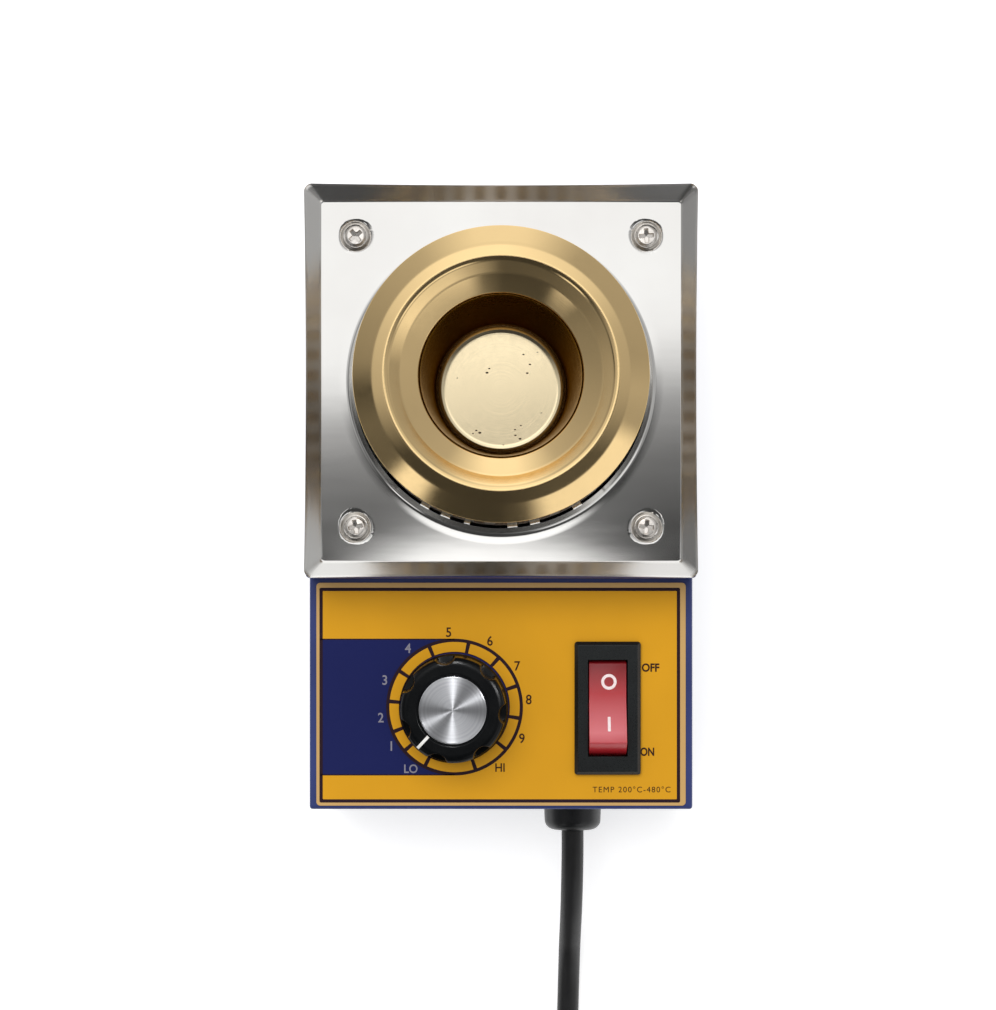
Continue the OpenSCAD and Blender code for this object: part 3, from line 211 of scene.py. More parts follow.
def box_outline(width, length, radius, steps, centre):
    """Rectangle with round corners: a quarter circle about each corner's own centre."""
    angle = np.linspace(0, TURN / 4, steps + 1)
    parts = []
    for k, (x, y) in enumerate([(1, 1), (-1, 1), (-1, -1), (1, -1)]):
        a = angle + k * TURN / 4
        parts.append(np.stack([x * (width / 2 - radius) + radius * np.cos(a),
                               y * (length / 2 - radius) + radius * np.sin(a)], -1))
    return np.concatenate(parts) + centre


def circle_outline(radius, centre, sides):
    """Circle: centre + radius (cos a, sin a)."""
    a = around(sides)
    return np.stack([np.cos(a), np.sin(a)], -1) * radius + centre


def capped(points):
    """Points [u, v, 3] as a tube along u, wrapped in v, with a flat face over each end."""
    flat, quads = grid(points, False, True)
    sides = points.shape[1]
    return flat, quads + [list(range(sides))[::-1], list(range(len(flat) - sides, len(flat)))]


def prism(outline, low, high):
    """Solid between two heights over a closed outline."""
    return capped(np.stack([np.hstack([outline, np.full((len(outline), 1), z)])
                            for z in (low, high)]))


def swung(at, turn, x, y, z):
    """Points (x, y, z) turned by an angle about the upright axis at a place."""
    cos, sin = math.cos(turn), math.sin(turn)
    return np.stack(np.broadcast_arrays(
        at[0] + x * cos - y * sin, at[1] + x * sin + y * cos, z), -1)


def band(outer, inner, low, high):
    """Flat ring between two closed outlines with as many points each."""
    rings = [(outer, low), (outer, high), (inner, high), (inner, low)]
    points = np.stack([np.hstack([o, np.full((len(o), 1), z)]) for o, z in rings])
    return grid(points, True, True)


def joined(*parts):
    """Several (points, faces) as one."""
    points, faces, count = [], [], 0
    for part_points, part_faces in parts:
        points.append(part_points)
        faces += [[i + count for i in face] for face in part_faces]
        count += len(part_points)
    return np.concatenate(points), faces


def tube(path, radius, sides):
    """Round tube along a path: rings of radius about each point, carried along without twist.

    Each ring's first direction is the one before it, less its part along the path.
    """
    way = np.gradient(path, axis=0)
    way /= np.linalg.norm(way, axis=1)[:, None]
    side = np.zeros_like(path)
    first = np.cross(way[0], (0, 0, 1.0) if abs(way[0][2]) < 0.9 else (1.0, 0, 0))
    side[0] = first / np.linalg.norm(first)
    for i in range(1, len(path)):
        carried = side[i - 1] - (side[i - 1] @ way[i]) * way[i]
        side[i] = carried / np.linalg.norm(carried)
    up = np.cross(way, side)
    a = around(sides)[None, :, None]
    radius = np.broadcast_to(radius, len(path))[:, None, None]
    points = path[:, None] + radius * (np.cos(a) * side[:, None] + np.sin(a) * up[:, None])
    return capped(points)


def smooth_path(points, step):
    """Catmull-Rom curve through the points, at even steps of about the given length."""
    p = np.vstack([2 * points[0] - points[1], points, 2 * points[-1] - points[-2]])
    t = np.linspace(0, 1, 24, endpoint=False)[:, None]
    parts = []
    for a, b, c, d in zip(p[:-3], p[1:-2], p[2:-1], p[3:]):
        parts.append(0.5 * (2 * b + (c - a) * t + (2 * a - 5 * b + 4 * c - d) * t ** 2
                            + (3 * b - a - 3 * c + d) * t ** 3))
    dense = np.vstack(parts + [points[-1:]])
    return even_steps(dense, step)


def even_steps(dense, step):
    """The same line cut into even steps by its own length."""
    run = np.concatenate([[0], np.cumsum(np.linalg.norm(np.diff(dense, axis=0), axis=1))])
    at = np.linspace(0, run[-1], max(2, int(round(run[-1] / step)) + 1))
    return np.stack([np.interp(at, run, dense[:, k]) for k in range(3)], -1)


def ease(t):
    """Smooth step from 0 to 1."""
    t = np.clip(t, 0, 1)
    return t * t * (3 - 2 * t)


def finish_piece(name, shape, finish, replaces=(), sharp=32, body="root"):
    """Makes the object from millimetre points and faces, closes its seams, and ties it down."""
    points, faces = shape
    mesh = bpy.data.meshes.new(name)
    mesh.from_pydata((np.asarray(points) * MM).tolist(), [], faces)
    work = bmesh.new()
    work.from_mesh(mesh)
    bmesh.ops.remove_doubles(work, verts=work.verts, dist=1e-7)
    bmesh.ops.dissolve_degenerate(work, edges=work.edges, dist=1e-8)
    bmesh.ops.recalc_face_normals(work, faces=work.faces)
    work.to_mesh(mesh)
    work.free()
    return finish_mesh(name, mesh, finish, replaces, sharp, body)


def placed(name, data):
    """A new object for this data, in the scene."""
    thing = bpy.data.objects.new(name, data)
    bpy.context.scene.collection.objects.link(thing)
    return thing


def finish_mesh(name, mesh, finish, replaces, sharp, body):
    """Gives a mesh its shading, object, material and body."""
    mesh.polygons.foreach_set("use_smooth", np.ones(len(mesh.polygons), bool))
    mesh.set_sharp_from_angle(angle=math.radians(sharp))
    piece = placed(name, mesh)
    mesh.materials.append(MATERIALS[finish])
    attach(piece, body)
    if replaces:
        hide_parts(*replaces)
    return piece


def softened(name, node, body, edge):
    """A CAD node's own shape with its sharp edges rounded."""
    mesh = frame["nodes"][node].data.copy()
    work = bmesh.new()
    work.from_mesh(mesh)
    bmesh.ops.remove_doubles(work, verts=work.verts, dist=2e-6)
    bmesh.ops.dissolve_limit(work, angle_limit=math.radians(1), verts=work.verts,
                             edges=work.edges, delimit={"NORMAL"})
    work.to_mesh(mesh)
    work.free()
    mesh.name = name
    mesh.materials.clear()
    piece = finish_mesh(name, mesh, SLOT_OF[node], (node,), 30, body)
    bevel = piece.modifiers.new("Rounded edges", "BEVEL")
    bevel.width = edge * MM
    bevel.segments = 3
    bevel.limit_method = "ANGLE"
    bevel.angle_limit = math.radians(40)
    bevel.harden_normals = False
    bevel.use_clamp_overlap = True


def lettering(text, size, at, bold=0.0, narrow=1.0, spacing=1.0):
    """Flat letters of one height, as points and faces on the print's plane."""
    curve = bpy.data.curves.new("letters", "FONT")
    curve.body = text
    curve.size = size
    curve.align_x = "CENTER"
    curve.align_y = "CENTER"
    curve.offset = bold
    curve.extrude = 0.008
    curve.space_character = spacing
    curve.resolution_u = 6
    source = placed("letters", curve)
    bpy.context.view_layer.update()
    flat = bpy.data.meshes.new_from_object(
        source.evaluated_get(bpy.context.evaluated_depsgraph_get()))
    points = np.array([v.co[:] for v in flat.vertices])
    faces = [list(p.vertices) for p in flat.polygons]
    bpy.data.objects.remove(source)
    bpy.data.meshes.remove(flat)
    return points * (narrow, 1, 1) + at, faces


# ---------- materials ----------


def add(tree, kind, inputs=None, **settings):
    """Adds one node with its settings; an input is a value, or a socket to link from."""
    new = tree.nodes.new(kind)
    for key, value in settings.items():
        setattr(new, key, value)
    for key, value in (inputs or {}).items():
        if isinstance(value, bpy.types.NodeSocket):
            tree.links.new(value, new.inputs[key])
        else:
            new.inputs[key].default_value = value
    return new


def per_metre(size_mm):
    """Texture scale at which one feature is size_mm wide."""
    return 1 / (size_mm * MM)


def blank(name):
    """A new material with an empty tree, its output and its object coordinates."""
    material = bpy.data.materials.new(name)
    material.use_nodes = True
    tree = material.node_tree
    tree.nodes.clear()
    out = add(tree, "ShaderNodeOutputMaterial")
    coords = add(tree, "ShaderNodeTexCoord").outputs["Object"]
    return material, tree, out, coords


def colour(value):
    """Hex code or linear colour as four numbers."""
    rgb = linear(value) if isinstance(value, str) else tuple(value)
    return (*rgb[:3], 1.0)


def ramp(tree, factor, stops):
    """Colour ramp with (position, colour) stops."""
    new = add(tree, "ShaderNodeValToRGB", {"Fac": factor})
    elements = new.color_ramp.elements
    while len(elements) < len(stops):
        elements.new(0.5)
    for element, (position, value) in zip(elements, stops):
        element.position = position
        element.color = colour(value)
    return new.outputs["Color"]


def maths(tree, kind, *values):
    """Result of one Math node."""
    return add(tree, "ShaderNodeMath", dict(enumerate(values)), operation=kind).outputs[0]


def vectors(tree, kind, *values, **named):
    """Result of one Vector Math node."""
    node = add(tree, "ShaderNodeVectorMath", {**dict(enumerate(values)), **named},
               operation=kind)
    return node.outputs["Value" if kind == "LENGTH" else "Vector"]


def part_of(tree, vector, axis):
    """X, Y or Z of a vector."""
    return add(tree, "ShaderNodeSeparateXYZ", {0: vector}).outputs[axis]


def spread(tree, value, start, end, low=0.0, high=1.0, **settings):
    """A value that runs from start to end, made to run from low to high."""
    return add(tree, "ShaderNodeMapRange", {
        "Value": value, "From Min": start, "From Max": end, "To Min": low, "To Max": high,
    }, **settings).outputs["Result"]


def rough_range(tree, factor, low, high):
    """Spreads the middle of a 0 to 1 pattern over a range."""
    return spread(tree, factor, 0.3, 0.7, low, high)


def noise(tree, vector, scale, detail, **more):
    """Cloudy pattern from 0 to 1."""
    return add(tree, "ShaderNodeTexNoise", {
        "Vector": vector, "Scale": scale, "Detail": detail, **more}).outputs["Fac"]


def ring_noise(tree, along, scale, detail):
    """Pattern from 0 to 1 that changes with one distance only."""
    return add(tree, "ShaderNodeTexNoise", {"W": along, "Scale": scale, "Detail": detail},
               noise_dimensions="1D").outputs["Fac"]


def bumped(tree, height, depth):
    """Normal of a relief as high as depth, in millimetres."""
    return add(tree, "ShaderNodeBump", {
        "Height": height, "Distance": depth * MM, "Strength": 1.0}).outputs["Normal"]


def surface(tree, out, sockets):
    """Principled shader with these sockets, on the material's output."""
    shader = add(tree, "ShaderNodeBsdfPrincipled", sockets)
    tree.links.new(shader.outputs[0], out.inputs["Surface"])


def mottled(name, base, shade, metallic, rough, grain, depth, patch=8.0, sockets=None):
    """Finish with two close colours in patches, a grain of one size, and its bump.

    patch and grain are in millimetres, and depth is the bump's height in millimetres.
    """
    material, tree, out, coords = blank(name)
    patches = noise(tree, coords, per_metre(patch), 3.0)
    fine = noise(tree, coords, per_metre(grain), 2.0)
    surface(tree, out, {
        "Base Color": ramp(tree, patches, [(0.35, base), (0.65, shade)]),
        "Metallic": metallic,
        "Roughness": rough_range(tree, fine, rough * 0.88, rough * 1.12),
        "Normal": bumped(tree, fine, depth), **(sockets or {})})
    return material


def centred(tree, coords, axis):
    """Object coordinates measured from an upright axis, in millimetres."""
    moved = vectors(tree, "ADD", coords, (-axis[0] * MM, -axis[1] * MM, 0.0))
    return vectors(tree, "SCALE", moved, Scale=1 / MM)


def level_part(tree, vector):
    """A vector without its height."""
    return vectors(tree, "MULTIPLY", vector, (1.0, 1.0, 0.0))


def distance_out(tree, vector):
    """Distance from the upright axis."""
    return vectors(tree, "LENGTH", level_part(tree, vector))


def spun_metal(name, tone_and_shade_bands, shade, rough, axis, pitch, depth):
    """Metal spun on a lathe: fine rings round the axis, its colour and roughness set by height.

    The height bands are (height in millimetres, colour, how many times rougher it is there), and
    shade is how dark the patches get. The bands' darker browns on the well's wall are partly painted shade.
    """
    material, tree, out, coords = blank(name)
    local = centred(tree, coords, axis)
    height = part_of(tree, local, "Z")
    rings = ring_noise(tree, maths(tree, "ADD", distance_out(tree, local), height), 1 / pitch,
                       3.0)
    patches = noise(tree, local, 1 / 13, 4.0)
    scuffs = noise(tree, local, 1 / 1.6, 5.0, Roughness=0.7)
    low, high = tone_and_shade_bands[0][0], tone_and_shade_bands[-1][0]
    level = spread(tree, height, low, high)
    # colour by height: the darker browns on the well's wall are partly painted shade
    tone_and_shade = ramp(tree, level, [((z - low) / (high - low), tone) for z, tone, _ in tone_and_shade_bands])
    # a ramp holds no more than 1, so it holds a quarter of the times, and the range the rest
    dull = ramp(tree, level, [((z - low) / (high - low), (times / 4,) * 3)
                              for z, _, times in tone_and_shade_bands])
    scuffed = rough_range(tree, scuffs, rough * 3.4, rough * 5.2)
    surface(tree, out, {
        "Base Color": vectors(tree, "SCALE", tone_and_shade, Scale=rough_range(tree, patches, shade, 1.0)),
        "Metallic": 1.0,
        "Roughness": maths(tree, "MULTIPLY", scuffed, dull),
        "Specular Tint": colour("#ad9367"),
        "Normal": bumped(tree, rings, depth)})
    return material


def faced_metal(name, base, shade, rough, axis):
    """Metal faced on a lathe: grooves too fine to see, that fan each light out from the axis.

    The highlight is stretched along the tangent, which points straight out from the axis.
    """
    material, tree, out, coords = blank(name)
    local = centred(tree, coords, axis)
    outward = vectors(tree, "NORMALIZE", level_part(tree, local))
    tangent = add(tree, "ShaderNodeVectorTransform", {0: outward}, vector_type="VECTOR",
                  convert_from="OBJECT", convert_to="WORLD")
    rings = ring_noise(tree, distance_out(tree, local), 1 / 0.5, 4.0)
    surface(tree, out, {
        "Base Color": ramp(tree, rings, [(0.3, shade), (0.7, base)]),
        "Metallic": 1.0,
        "Roughness": rough_range(tree, rings, rough * 0.92, rough * 1.08),
        "Anisotropic": 0.93, "Tangent": tangent.outputs[0]})
    return material


def polished_sheet(name, base, shade, rough, waves, fold=None):
    """Cold-rolled stainless, buffed: broad low waves, light smears, a near mirror.

    waves is the height of the waves in millimetres. fold is (axis, distance, roughness):
    further than that from the axis, in x or in y, the sheet is bent up and duller.
    """
    material, tree, out, coords = blank(name)
    stretched = add(tree, "ShaderNodeMapping", {"Vector": coords, "Scale": (1.0, 5.0, 1.0)})
    lines = noise(tree, stretched.outputs[0], per_metre(30.0), 2.0, Roughness=0.4)
    smears = noise(tree, coords, per_metre(24.0), 4.0)
    dull = rough_range(tree, lines, rough * 0.85, rough * 1.2)
    if fold:
        axis, reach, edge_rough = fold
        away = vectors(tree, "ABSOLUTE", centred(tree, coords, axis))
        far = maths(tree, "MAXIMUM", part_of(tree, away, "X"), part_of(tree, away, "Y"))
        dull = spread(tree, far, reach - 0.15, reach + 0.15, dull, edge_rough)
    surface(tree, out, {
        "Base Color": ramp(tree, smears, [(0.3, shade), (0.7, base)]),
        "Metallic": 1.0,
        "Roughness": dull,
        "Normal": bumped(tree, lines, waves)})
    return material


def red_plastic_painted_sheen(name, shaded_red, base, pale, rear, front):
    """Tinted polycarbonate: deep red at both ends as painted shade, and paler towards the front as a painted
    sheen.

    rear and front are the places in millimetres between which it pales.
    """
    material, tree, out, coords = blank(name)
    along = spread(tree, part_of(tree, coords, "Y"), rear * MM, front * MM)
    cloud = noise(tree, coords, per_metre(0.7), 2.0)
    # painted shade darkens both ends, and a painted sheen pales the red towards the front
    surface(tree, out, {
        "Base Color": ramp(tree, along, [(0.0, shaded_red), (0.3, base), (0.72, pale), (0.9, base),
                                         (0.96, shaded_red)]),
        "Roughness": rough_range(tree, cloud, 0.17, 0.25), "IOR": 1.58,
        "Subsurface Weight": 0.2, "Subsurface Radius": (1.0, 0.2, 0.15),
        "Subsurface Scale": 1.2 * MM})
    return material


def ink(name, code):
    """Screen-printed ink on polycarbonate film: flat colour, a faint pebble, a satin gloss."""
    value = linear(code) if isinstance(code, str) else tuple(code)
    dark = tuple(0.93 * c for c in value)
    return mottled(name, value, dark, 0.0, 0.5, 0.6, 0.006, 30.0, {"Specular IOR Level": 0.25})


MATERIALS = {}
# By slot: name, base, shade, metallic, roughness, grain, relief, patch, other sockets
PLAIN = {
    # Carbonised flux, dried: small black crumbs
    "burnt_flux": ("burnt flux", "#3a2c1a", "#5c4a2c", 0.0, 0.6, 0.3, 0.05, 1.0),
    # Nickel-plated steel, tumbled: bright with slight pits
    "steel_screw": ("nickel plated steel", "#f5f0ea", "#ebe5de", 1.0, 0.3, 0.5, 0.006, 2.0),
    # Zinc-plated steel: bluish and cloudy
    "zinc_steel": ("zinc plated steel", "#c3c8cc", "#aab0b4", 1.0, 0.34, 0.5, 0.01, 3.0),
    # Phenolic, compression moulded and polished: deep black gloss
    "knob_bakelite": ("polished phenolic", "#040506", "#070809", 0.0, 0.24, 1.4, 0.006, 6.0,
                      {"IOR": 1.25}),
    # Paint wiped into a groove: white and a little dull
    "pointer_paint": ("white paint fill", "#f4f3f0", "#e8e6e0", 0.0, 0.45, 0.3, 0.01, 1.5),
    # Blackened steel: dark with a metal's gleam
    "black_steel": ("black oxide steel", "#2a2b2d", "#1c1d1f", 1.0, 0.4, 0.3, 0.01, 2.0),
    # Nylon, moulded with a fine spark texture: charcoal with a soft sheen
    "switch_nylon": ("moulded nylon", "#101314", "#15191a", 0.0, 0.3, 0.35, 0.01, 9.0,
                     {"IOR": 1.53}),
    "gland_nylon": ("gland nylon", "#131415", "#1b1c1e", 0.0, 0.34, 0.5, 0.01, 5.0,
                    {"IOR": 1.53}),
    # Paint stamped on the rocker: white, warmed by the red beneath
    "rocker_mark": ("white stamped paint", "#f7dfe0", "#fff0ef", 0.0, 0.4, 0.3, 0.008, 1.0),
    # A neon lamp's glass: smooth, with the glow's colour
    "lamp_glass": ("neon lamp glass", "#e8a878", "#d99668", 0.0, 0.08, 2.0, 0.002, 3.0,
                   {"IOR": 1.5}),
    # Soft vinyl, extruded or moulded: dull black with drag lines
    "cord_sheath": ("extruded vinyl", "#141414", "#1e1e1f", 0.0, 0.46, 0.5, 0.015, 14.0),
    "plug_vinyl": ("moulded vinyl", "#161617", "#1f1f20", 0.0, 0.42, 0.4, 0.015, 8.0),
    # Woven nylon strap and moulded rubber: matt black
    "tie_plastic": ("woven strap", "#0d0d0e", "#1a1a1b", 0.0, 0.7, 0.5, 0.05, 2.0),
    "rubber_foot": ("moulded rubber", "#151516", "#202021", 0.0, 0.62, 0.4, 0.02, 3.0),
    # Round the heater: chalky fibre, cream ceramic, dark wire, flaky mica, woven glass
    "ceramic_fibre": ("ceramic fibre", "#ebe7da", "#d5cfbd", 0.0, 0.9, 0.4, 0.12, 3.0),
    "steatite": ("fired steatite", "#ded6c4", "#cdc4ae", 0.0, 0.55, 0.4, 0.02, 4.0),
    "resistance_wire": ("oxidised nichrome", "#6f665c", "#514a43", 1.0, 0.5, 0.2, 0.01, 1.0),
    "mica_sheet": ("laminated mica", "#b3a283", "#8f7f62", 0.0, 0.3, 1.0, 0.03, 5.0),
    "glass_sleeving": ("woven glass sleeving", "#d8d2bf", "#bdb69f", 0.0, 0.8, 0.3, 0.06, 1.0),
    # Control and plug: grey plastic, tinned, turned and drawn metal
    "control_plastic": ("moulded phenolic", "#2b2b2d", "#37373a", 0.0, 0.5, 0.4, 0.01, 4.0),
    "tinned_brass": ("tinned brass", "#c9c6b8", "#b1ad9e", 1.0, 0.35, 0.4, 0.008, 1.5),
    "machined_aluminium": ("turned aluminium", "#c9cbce", "#b6b8bc", 1.0, 0.3, 0.3, 0.008, 4.0),
    "plain_brass": ("machined brass", "#d6b566", "#bf9c50", 1.0, 0.28, 0.4, 0.006, 3.0),
    # On the board: brown laminate, black, yellow and cream parts, lacquered copper
    "board_phenolic": ("paper phenolic board", "#9a7238", "#87602c", 0.0, 0.5, 0.6, 0.01, 6.0),
    "device_epoxy": ("moulded epoxy", "#1b1b1d", "#242427", 0.0, 0.5, 0.3, 0.01, 2.0),
    "film_capacitor": ("yellow moulded box", "#c7a12b", "#b58f22", 0.0, 0.35, 0.5, 0.008, 4.0),
    "enamelled_copper": ("enamelled copper", "#b5671f", "#8f4c15", 1.0, 0.3, 0.6, 0.1, 2.0),
    "resistor_body": ("lacquered ceramic", "#b89d6d", "#a38a5c", 0.0, 0.4, 0.5, 0.01, 1.5),
    "block_nylon": ("natural nylon", "#e4e1d6", "#d6d2c4", 0.0, 0.45, 0.5, 0.01, 4.0),
}
# Vinyl insulation over a strand, by slot: plain colour, slightly glossy
WIRES = {"wire_yellow": ("#d9c33c", "#c4ae2c"), "wire_brown": ("#6a3d24", "#57301a"),
         "wire_black": ("#1d1d1f", "#29292b"), "wire_blue": ("#2f5fae", "#264f94"),
         "wire_green": ("#7fa52f", "#d0c23a")}
# Depth of the crucible's well, and of its mouth, under the crest
WELL_DEEP, MOUTH_DEEP = 44, 6.2


def make_materials():
    """Every finish of the pot, by its record slot or its own name."""
    hues = bpy.context.scene.pot_colours
    m = MATERIALS
    for slot, row in PLAIN.items():
        m[slot] = mottled(*row)
    for slot, (light, dark) in WIRES.items():
        m[slot] = mottled("insulation " + slot[5:], light, dark, 0.0, 0.4, 0.6, 0.01, 2.5)
    # Polyester powder, sprayed on steel and baked: even blue, an orange peel, a soft sheen
    shade = tuple(0.82 * c for c in hues.case)
    m["blue_powder_coat"] = mottled("powder coated steel", hues.case, shade, 0.0, 0.36, 0.9,
                                    0.02, 26.0, {"IOR": 1.5})
    # Buffed stainless sheet: near mirror with faint rolling lines, duller on its raised border
    m["polished_stainless"] = polished_sheet(
        "buffed stainless", "#e9e8e5", "#e3e1de", 0.06, 0.004,
        (POT_AXIS, (TRAY_HIGH[0] - TRAY_LOW[0]) / 2 - 4.15, 0.25))
    # Stainless strip, rolled, then dulled and browned by the heat
    m["shroud_stainless"] = polished_sheet("heat-dulled stainless", "#c6bcaf", "#a89d90",
                                           0.34, 0.02)
    # The same strip's bent tips, coloured brighter than the rest as a painted highlight
    m["tips_painted_bright"] = polished_sheet("bright stainless", "#f6f6f4", "#efefec", 0.35, 0.01)
    # Stainless spun and gold-coated: a warm mirror with fine rings; the well's wall is darker brown,
    # partly as painted shade
    floor, mouth = POT_HIGH[2] - WELL_DEEP, POT_HIGH[2] - MOUTH_DEEP
    m["gold_coated_steel"] = spun_metal("gold coated spun steel", [
        (floor, "#f6e4bd", 1.0), (floor + 0.4, "#f6e4bd", 1.0), (floor + 1.6, "#80653c", 2.8),
        (floor + 14, "#8a6d43", 2.8), (mouth - 3, "#967748", 2.0),
        (mouth + 0.3, hues.gold, 1.0), (POT_HIGH[2], hues.gold, 1.0)],
        0.95, 0.12, POT_AXIS, 0.7, 0.0015)
    # Inks on the polycarbonate film: flat and satin
    for slot, name, code in [
            ("printed_film", "printed film", "#d0a86c"), ("panel_ink", "amber ink", hues.panel),
            ("field_ink", "blue ink", hues.field), ("line_ink", "maroon ink", "#2a1620"),
            ("letter_ink", "dark letter ink", "#3c2114"),
            ("pale_ink", "pale letter ink", "#8f8c98")]:
        m[slot] = ink(name, code)
    # Aluminium faced on a lathe: grooves that spread each light into a fan
    m["spun_aluminium"] = faced_metal("faced aluminium", "#a3a4a7", "#97989b", 0.4, KNOB_AXIS)
    # Polycarbonate, tinted: clear red gloss; painted shade at both ends, and a painted sheen
    # paler towards the front
    m["rocker_red"] = red_plastic_painted_sheen("tinted polycarbonate", "#7d1219", hues.rocker,
                                          "#d66e75", SWITCH_AXIS[1] + 11, SWITCH_AXIS[1] - 13)


# ---------- pieces ----------


def run_points():
    """The mains cord's line in millimetres: down from the gland, along the bench, round the
    coil's five turns, and on to the plug.

    The coil runs clockwise about its axis. Three turns go inwards on the bench and two outwards
    on top of them. Each change of column or layer is a smooth step over part of a turn.
    """
    down = np.array([
        (19.5, -87.8, 22), (19.5, -94, 22), (19.4, -102, 21), (19.3, -109.5, 17.5),
        (19.2, -116, 12.5), (19.1, -122, 7.5), (19, -129.5, 4), (18.8, -138, 3),
        (18.5, -150, 3), (18.2, -164, 3), (18, -177, 3), (18, -190, 3)], float)
    tail = np.array([
        (18, -190, 9), (18, -194, 9), (18.8, -199, 9.5), (20.2, -204, 10.2),
        (21.5, -209, 10.8), (22, -213, 11), (22, -216, 11)], float)
    pitch = bpy.context.scene.pot_sizes.cord / MM
    outer = 41.0
    middle = np.array([18 - outer, -190])
    turns = 5
    a = np.linspace(0, 360 * turns, 24 * 6 * turns + 1)
    inward = sum(ease((a - (360 * k + 290)) / 70) for k in range(2))
    climb = ease((a - (720 + 220)) / 70)
    outward = sum(ease((a - (360 * k + 150)) / 65) for k in (3, 4))
    radius = outer - pitch * inward + pitch * outward
    angle = -np.radians(a)
    coil = np.stack([middle[0] + radius * np.cos(angle), middle[1] + radius * np.sin(angle),
                     3 + pitch * climb], -1)
    first = smooth_path(down, 2.5)
    last = smooth_path(tail, 2.5)
    line = np.vstack([first[:-1], even_steps(coil, 2.5), last[1:]])
    line[:, 2] = np.maximum(line[:, 2], pitch / 2)
    return line


class POT_OT_cord(bpy.types.Operator):
    """Lays the mains cord and moulds its plug"""

    bl_idname = "pot.cord"
    bl_label = "Mains cord"

    def execute(self, context):
        thick = context.scene.pot_sizes.cord
        path = run_points()
        cord = finish_piece("mains_cord", tube(path, thick / MM / 2, 20), "cord_sheath",
                            ("cord_run", "cord_coil", "cord_tail"), 60)
        plug = make_plug()
        return {"FINISHED"}


def make_plug():
    """Moulded plug: a ribbed cone for the cord, then a rounded body with grips at its sides.

    Sections are superellipses |x/a|^n + |z/b|^n = 1 whose half width a, half height b and power n
    are functions of the distance along the plug; the ribs are a cosine on the cone's radius.
    """
    low, high = PLUG_LOW, PLUG_HIGH
    middle = (low + high) / 2
    length = high[1] - low[1]
    # length of the ribbed cone, depth and pitch of its ribs, depth of the grips, round of the end
    cone, rib, pitch, waist, edge = 18.0, 0.45, 2.25, 1.6, 1.2
    t = np.linspace(0, length, 150)
    into = ease((t - cone + 1) / 6)
    ribs = rib * (0.5 - 0.5 * np.cos(TURN * np.clip(t - 2, 0, 6 * pitch) / pitch)) * (t < 15.6)
    round_r = 3.5 + 2.2 * t / cone - ribs
    half_w = round_r * (1 - into) + (high[0] - low[0]) / 2 * into
    half_h = round_r * (1 - into) + (high[2] - low[2]) / 2 * into
    grip = np.exp(-((t - cone - 11) / 6.5) ** 2)
    half_w = half_w - waist * grip * into
    power = 2 + 2.6 * into
    back = np.clip((t - (length - edge)) / edge, 0, 1)
    shrink = edge * (1 - np.sqrt(1 - back ** 2))
    half_w, half_h = half_w - shrink, half_h - shrink
    a = around(72)
    cos, sin = np.cos(a)[None], np.sin(a)[None]
    scale = (np.abs(cos) ** power[:, None] + np.abs(sin) ** power[:, None]) ** (
        -1 / power[:, None])
    points = np.stack([middle[0] + half_w[:, None] * scale * cos,
                       high[1] - t[:, None] + 0 * cos,
                       middle[2] + half_h[:, None] * scale * sin], -1)
    return finish_piece("plug_shell", capped(points), "plug_vinyl", ("plug_body",), 50)


def square_reach(half, corner, bow, angle):
    """Distance from the centre to a square with round corners and sides bowed in, at an angle.

    On a side it is (half - bow (1 - tan^2 a)) / cos a, and near a corner it is the ray's far
    crossing with the corner's circle.
    """
    local = np.abs((angle + TURN / 8) % (TURN / 4) - TURN / 8)
    tan = np.tan(local)
    side = (half - bow * (1 - tan ** 2)) / np.cos(local)
    m = half - corner
    dot = m * (np.cos(local) + np.sin(local))
    arc = dot + np.sqrt(np.maximum(dot ** 2 - 2 * m ** 2 + corner ** 2, 0))
    return np.where(half * tan > m, arc, side)


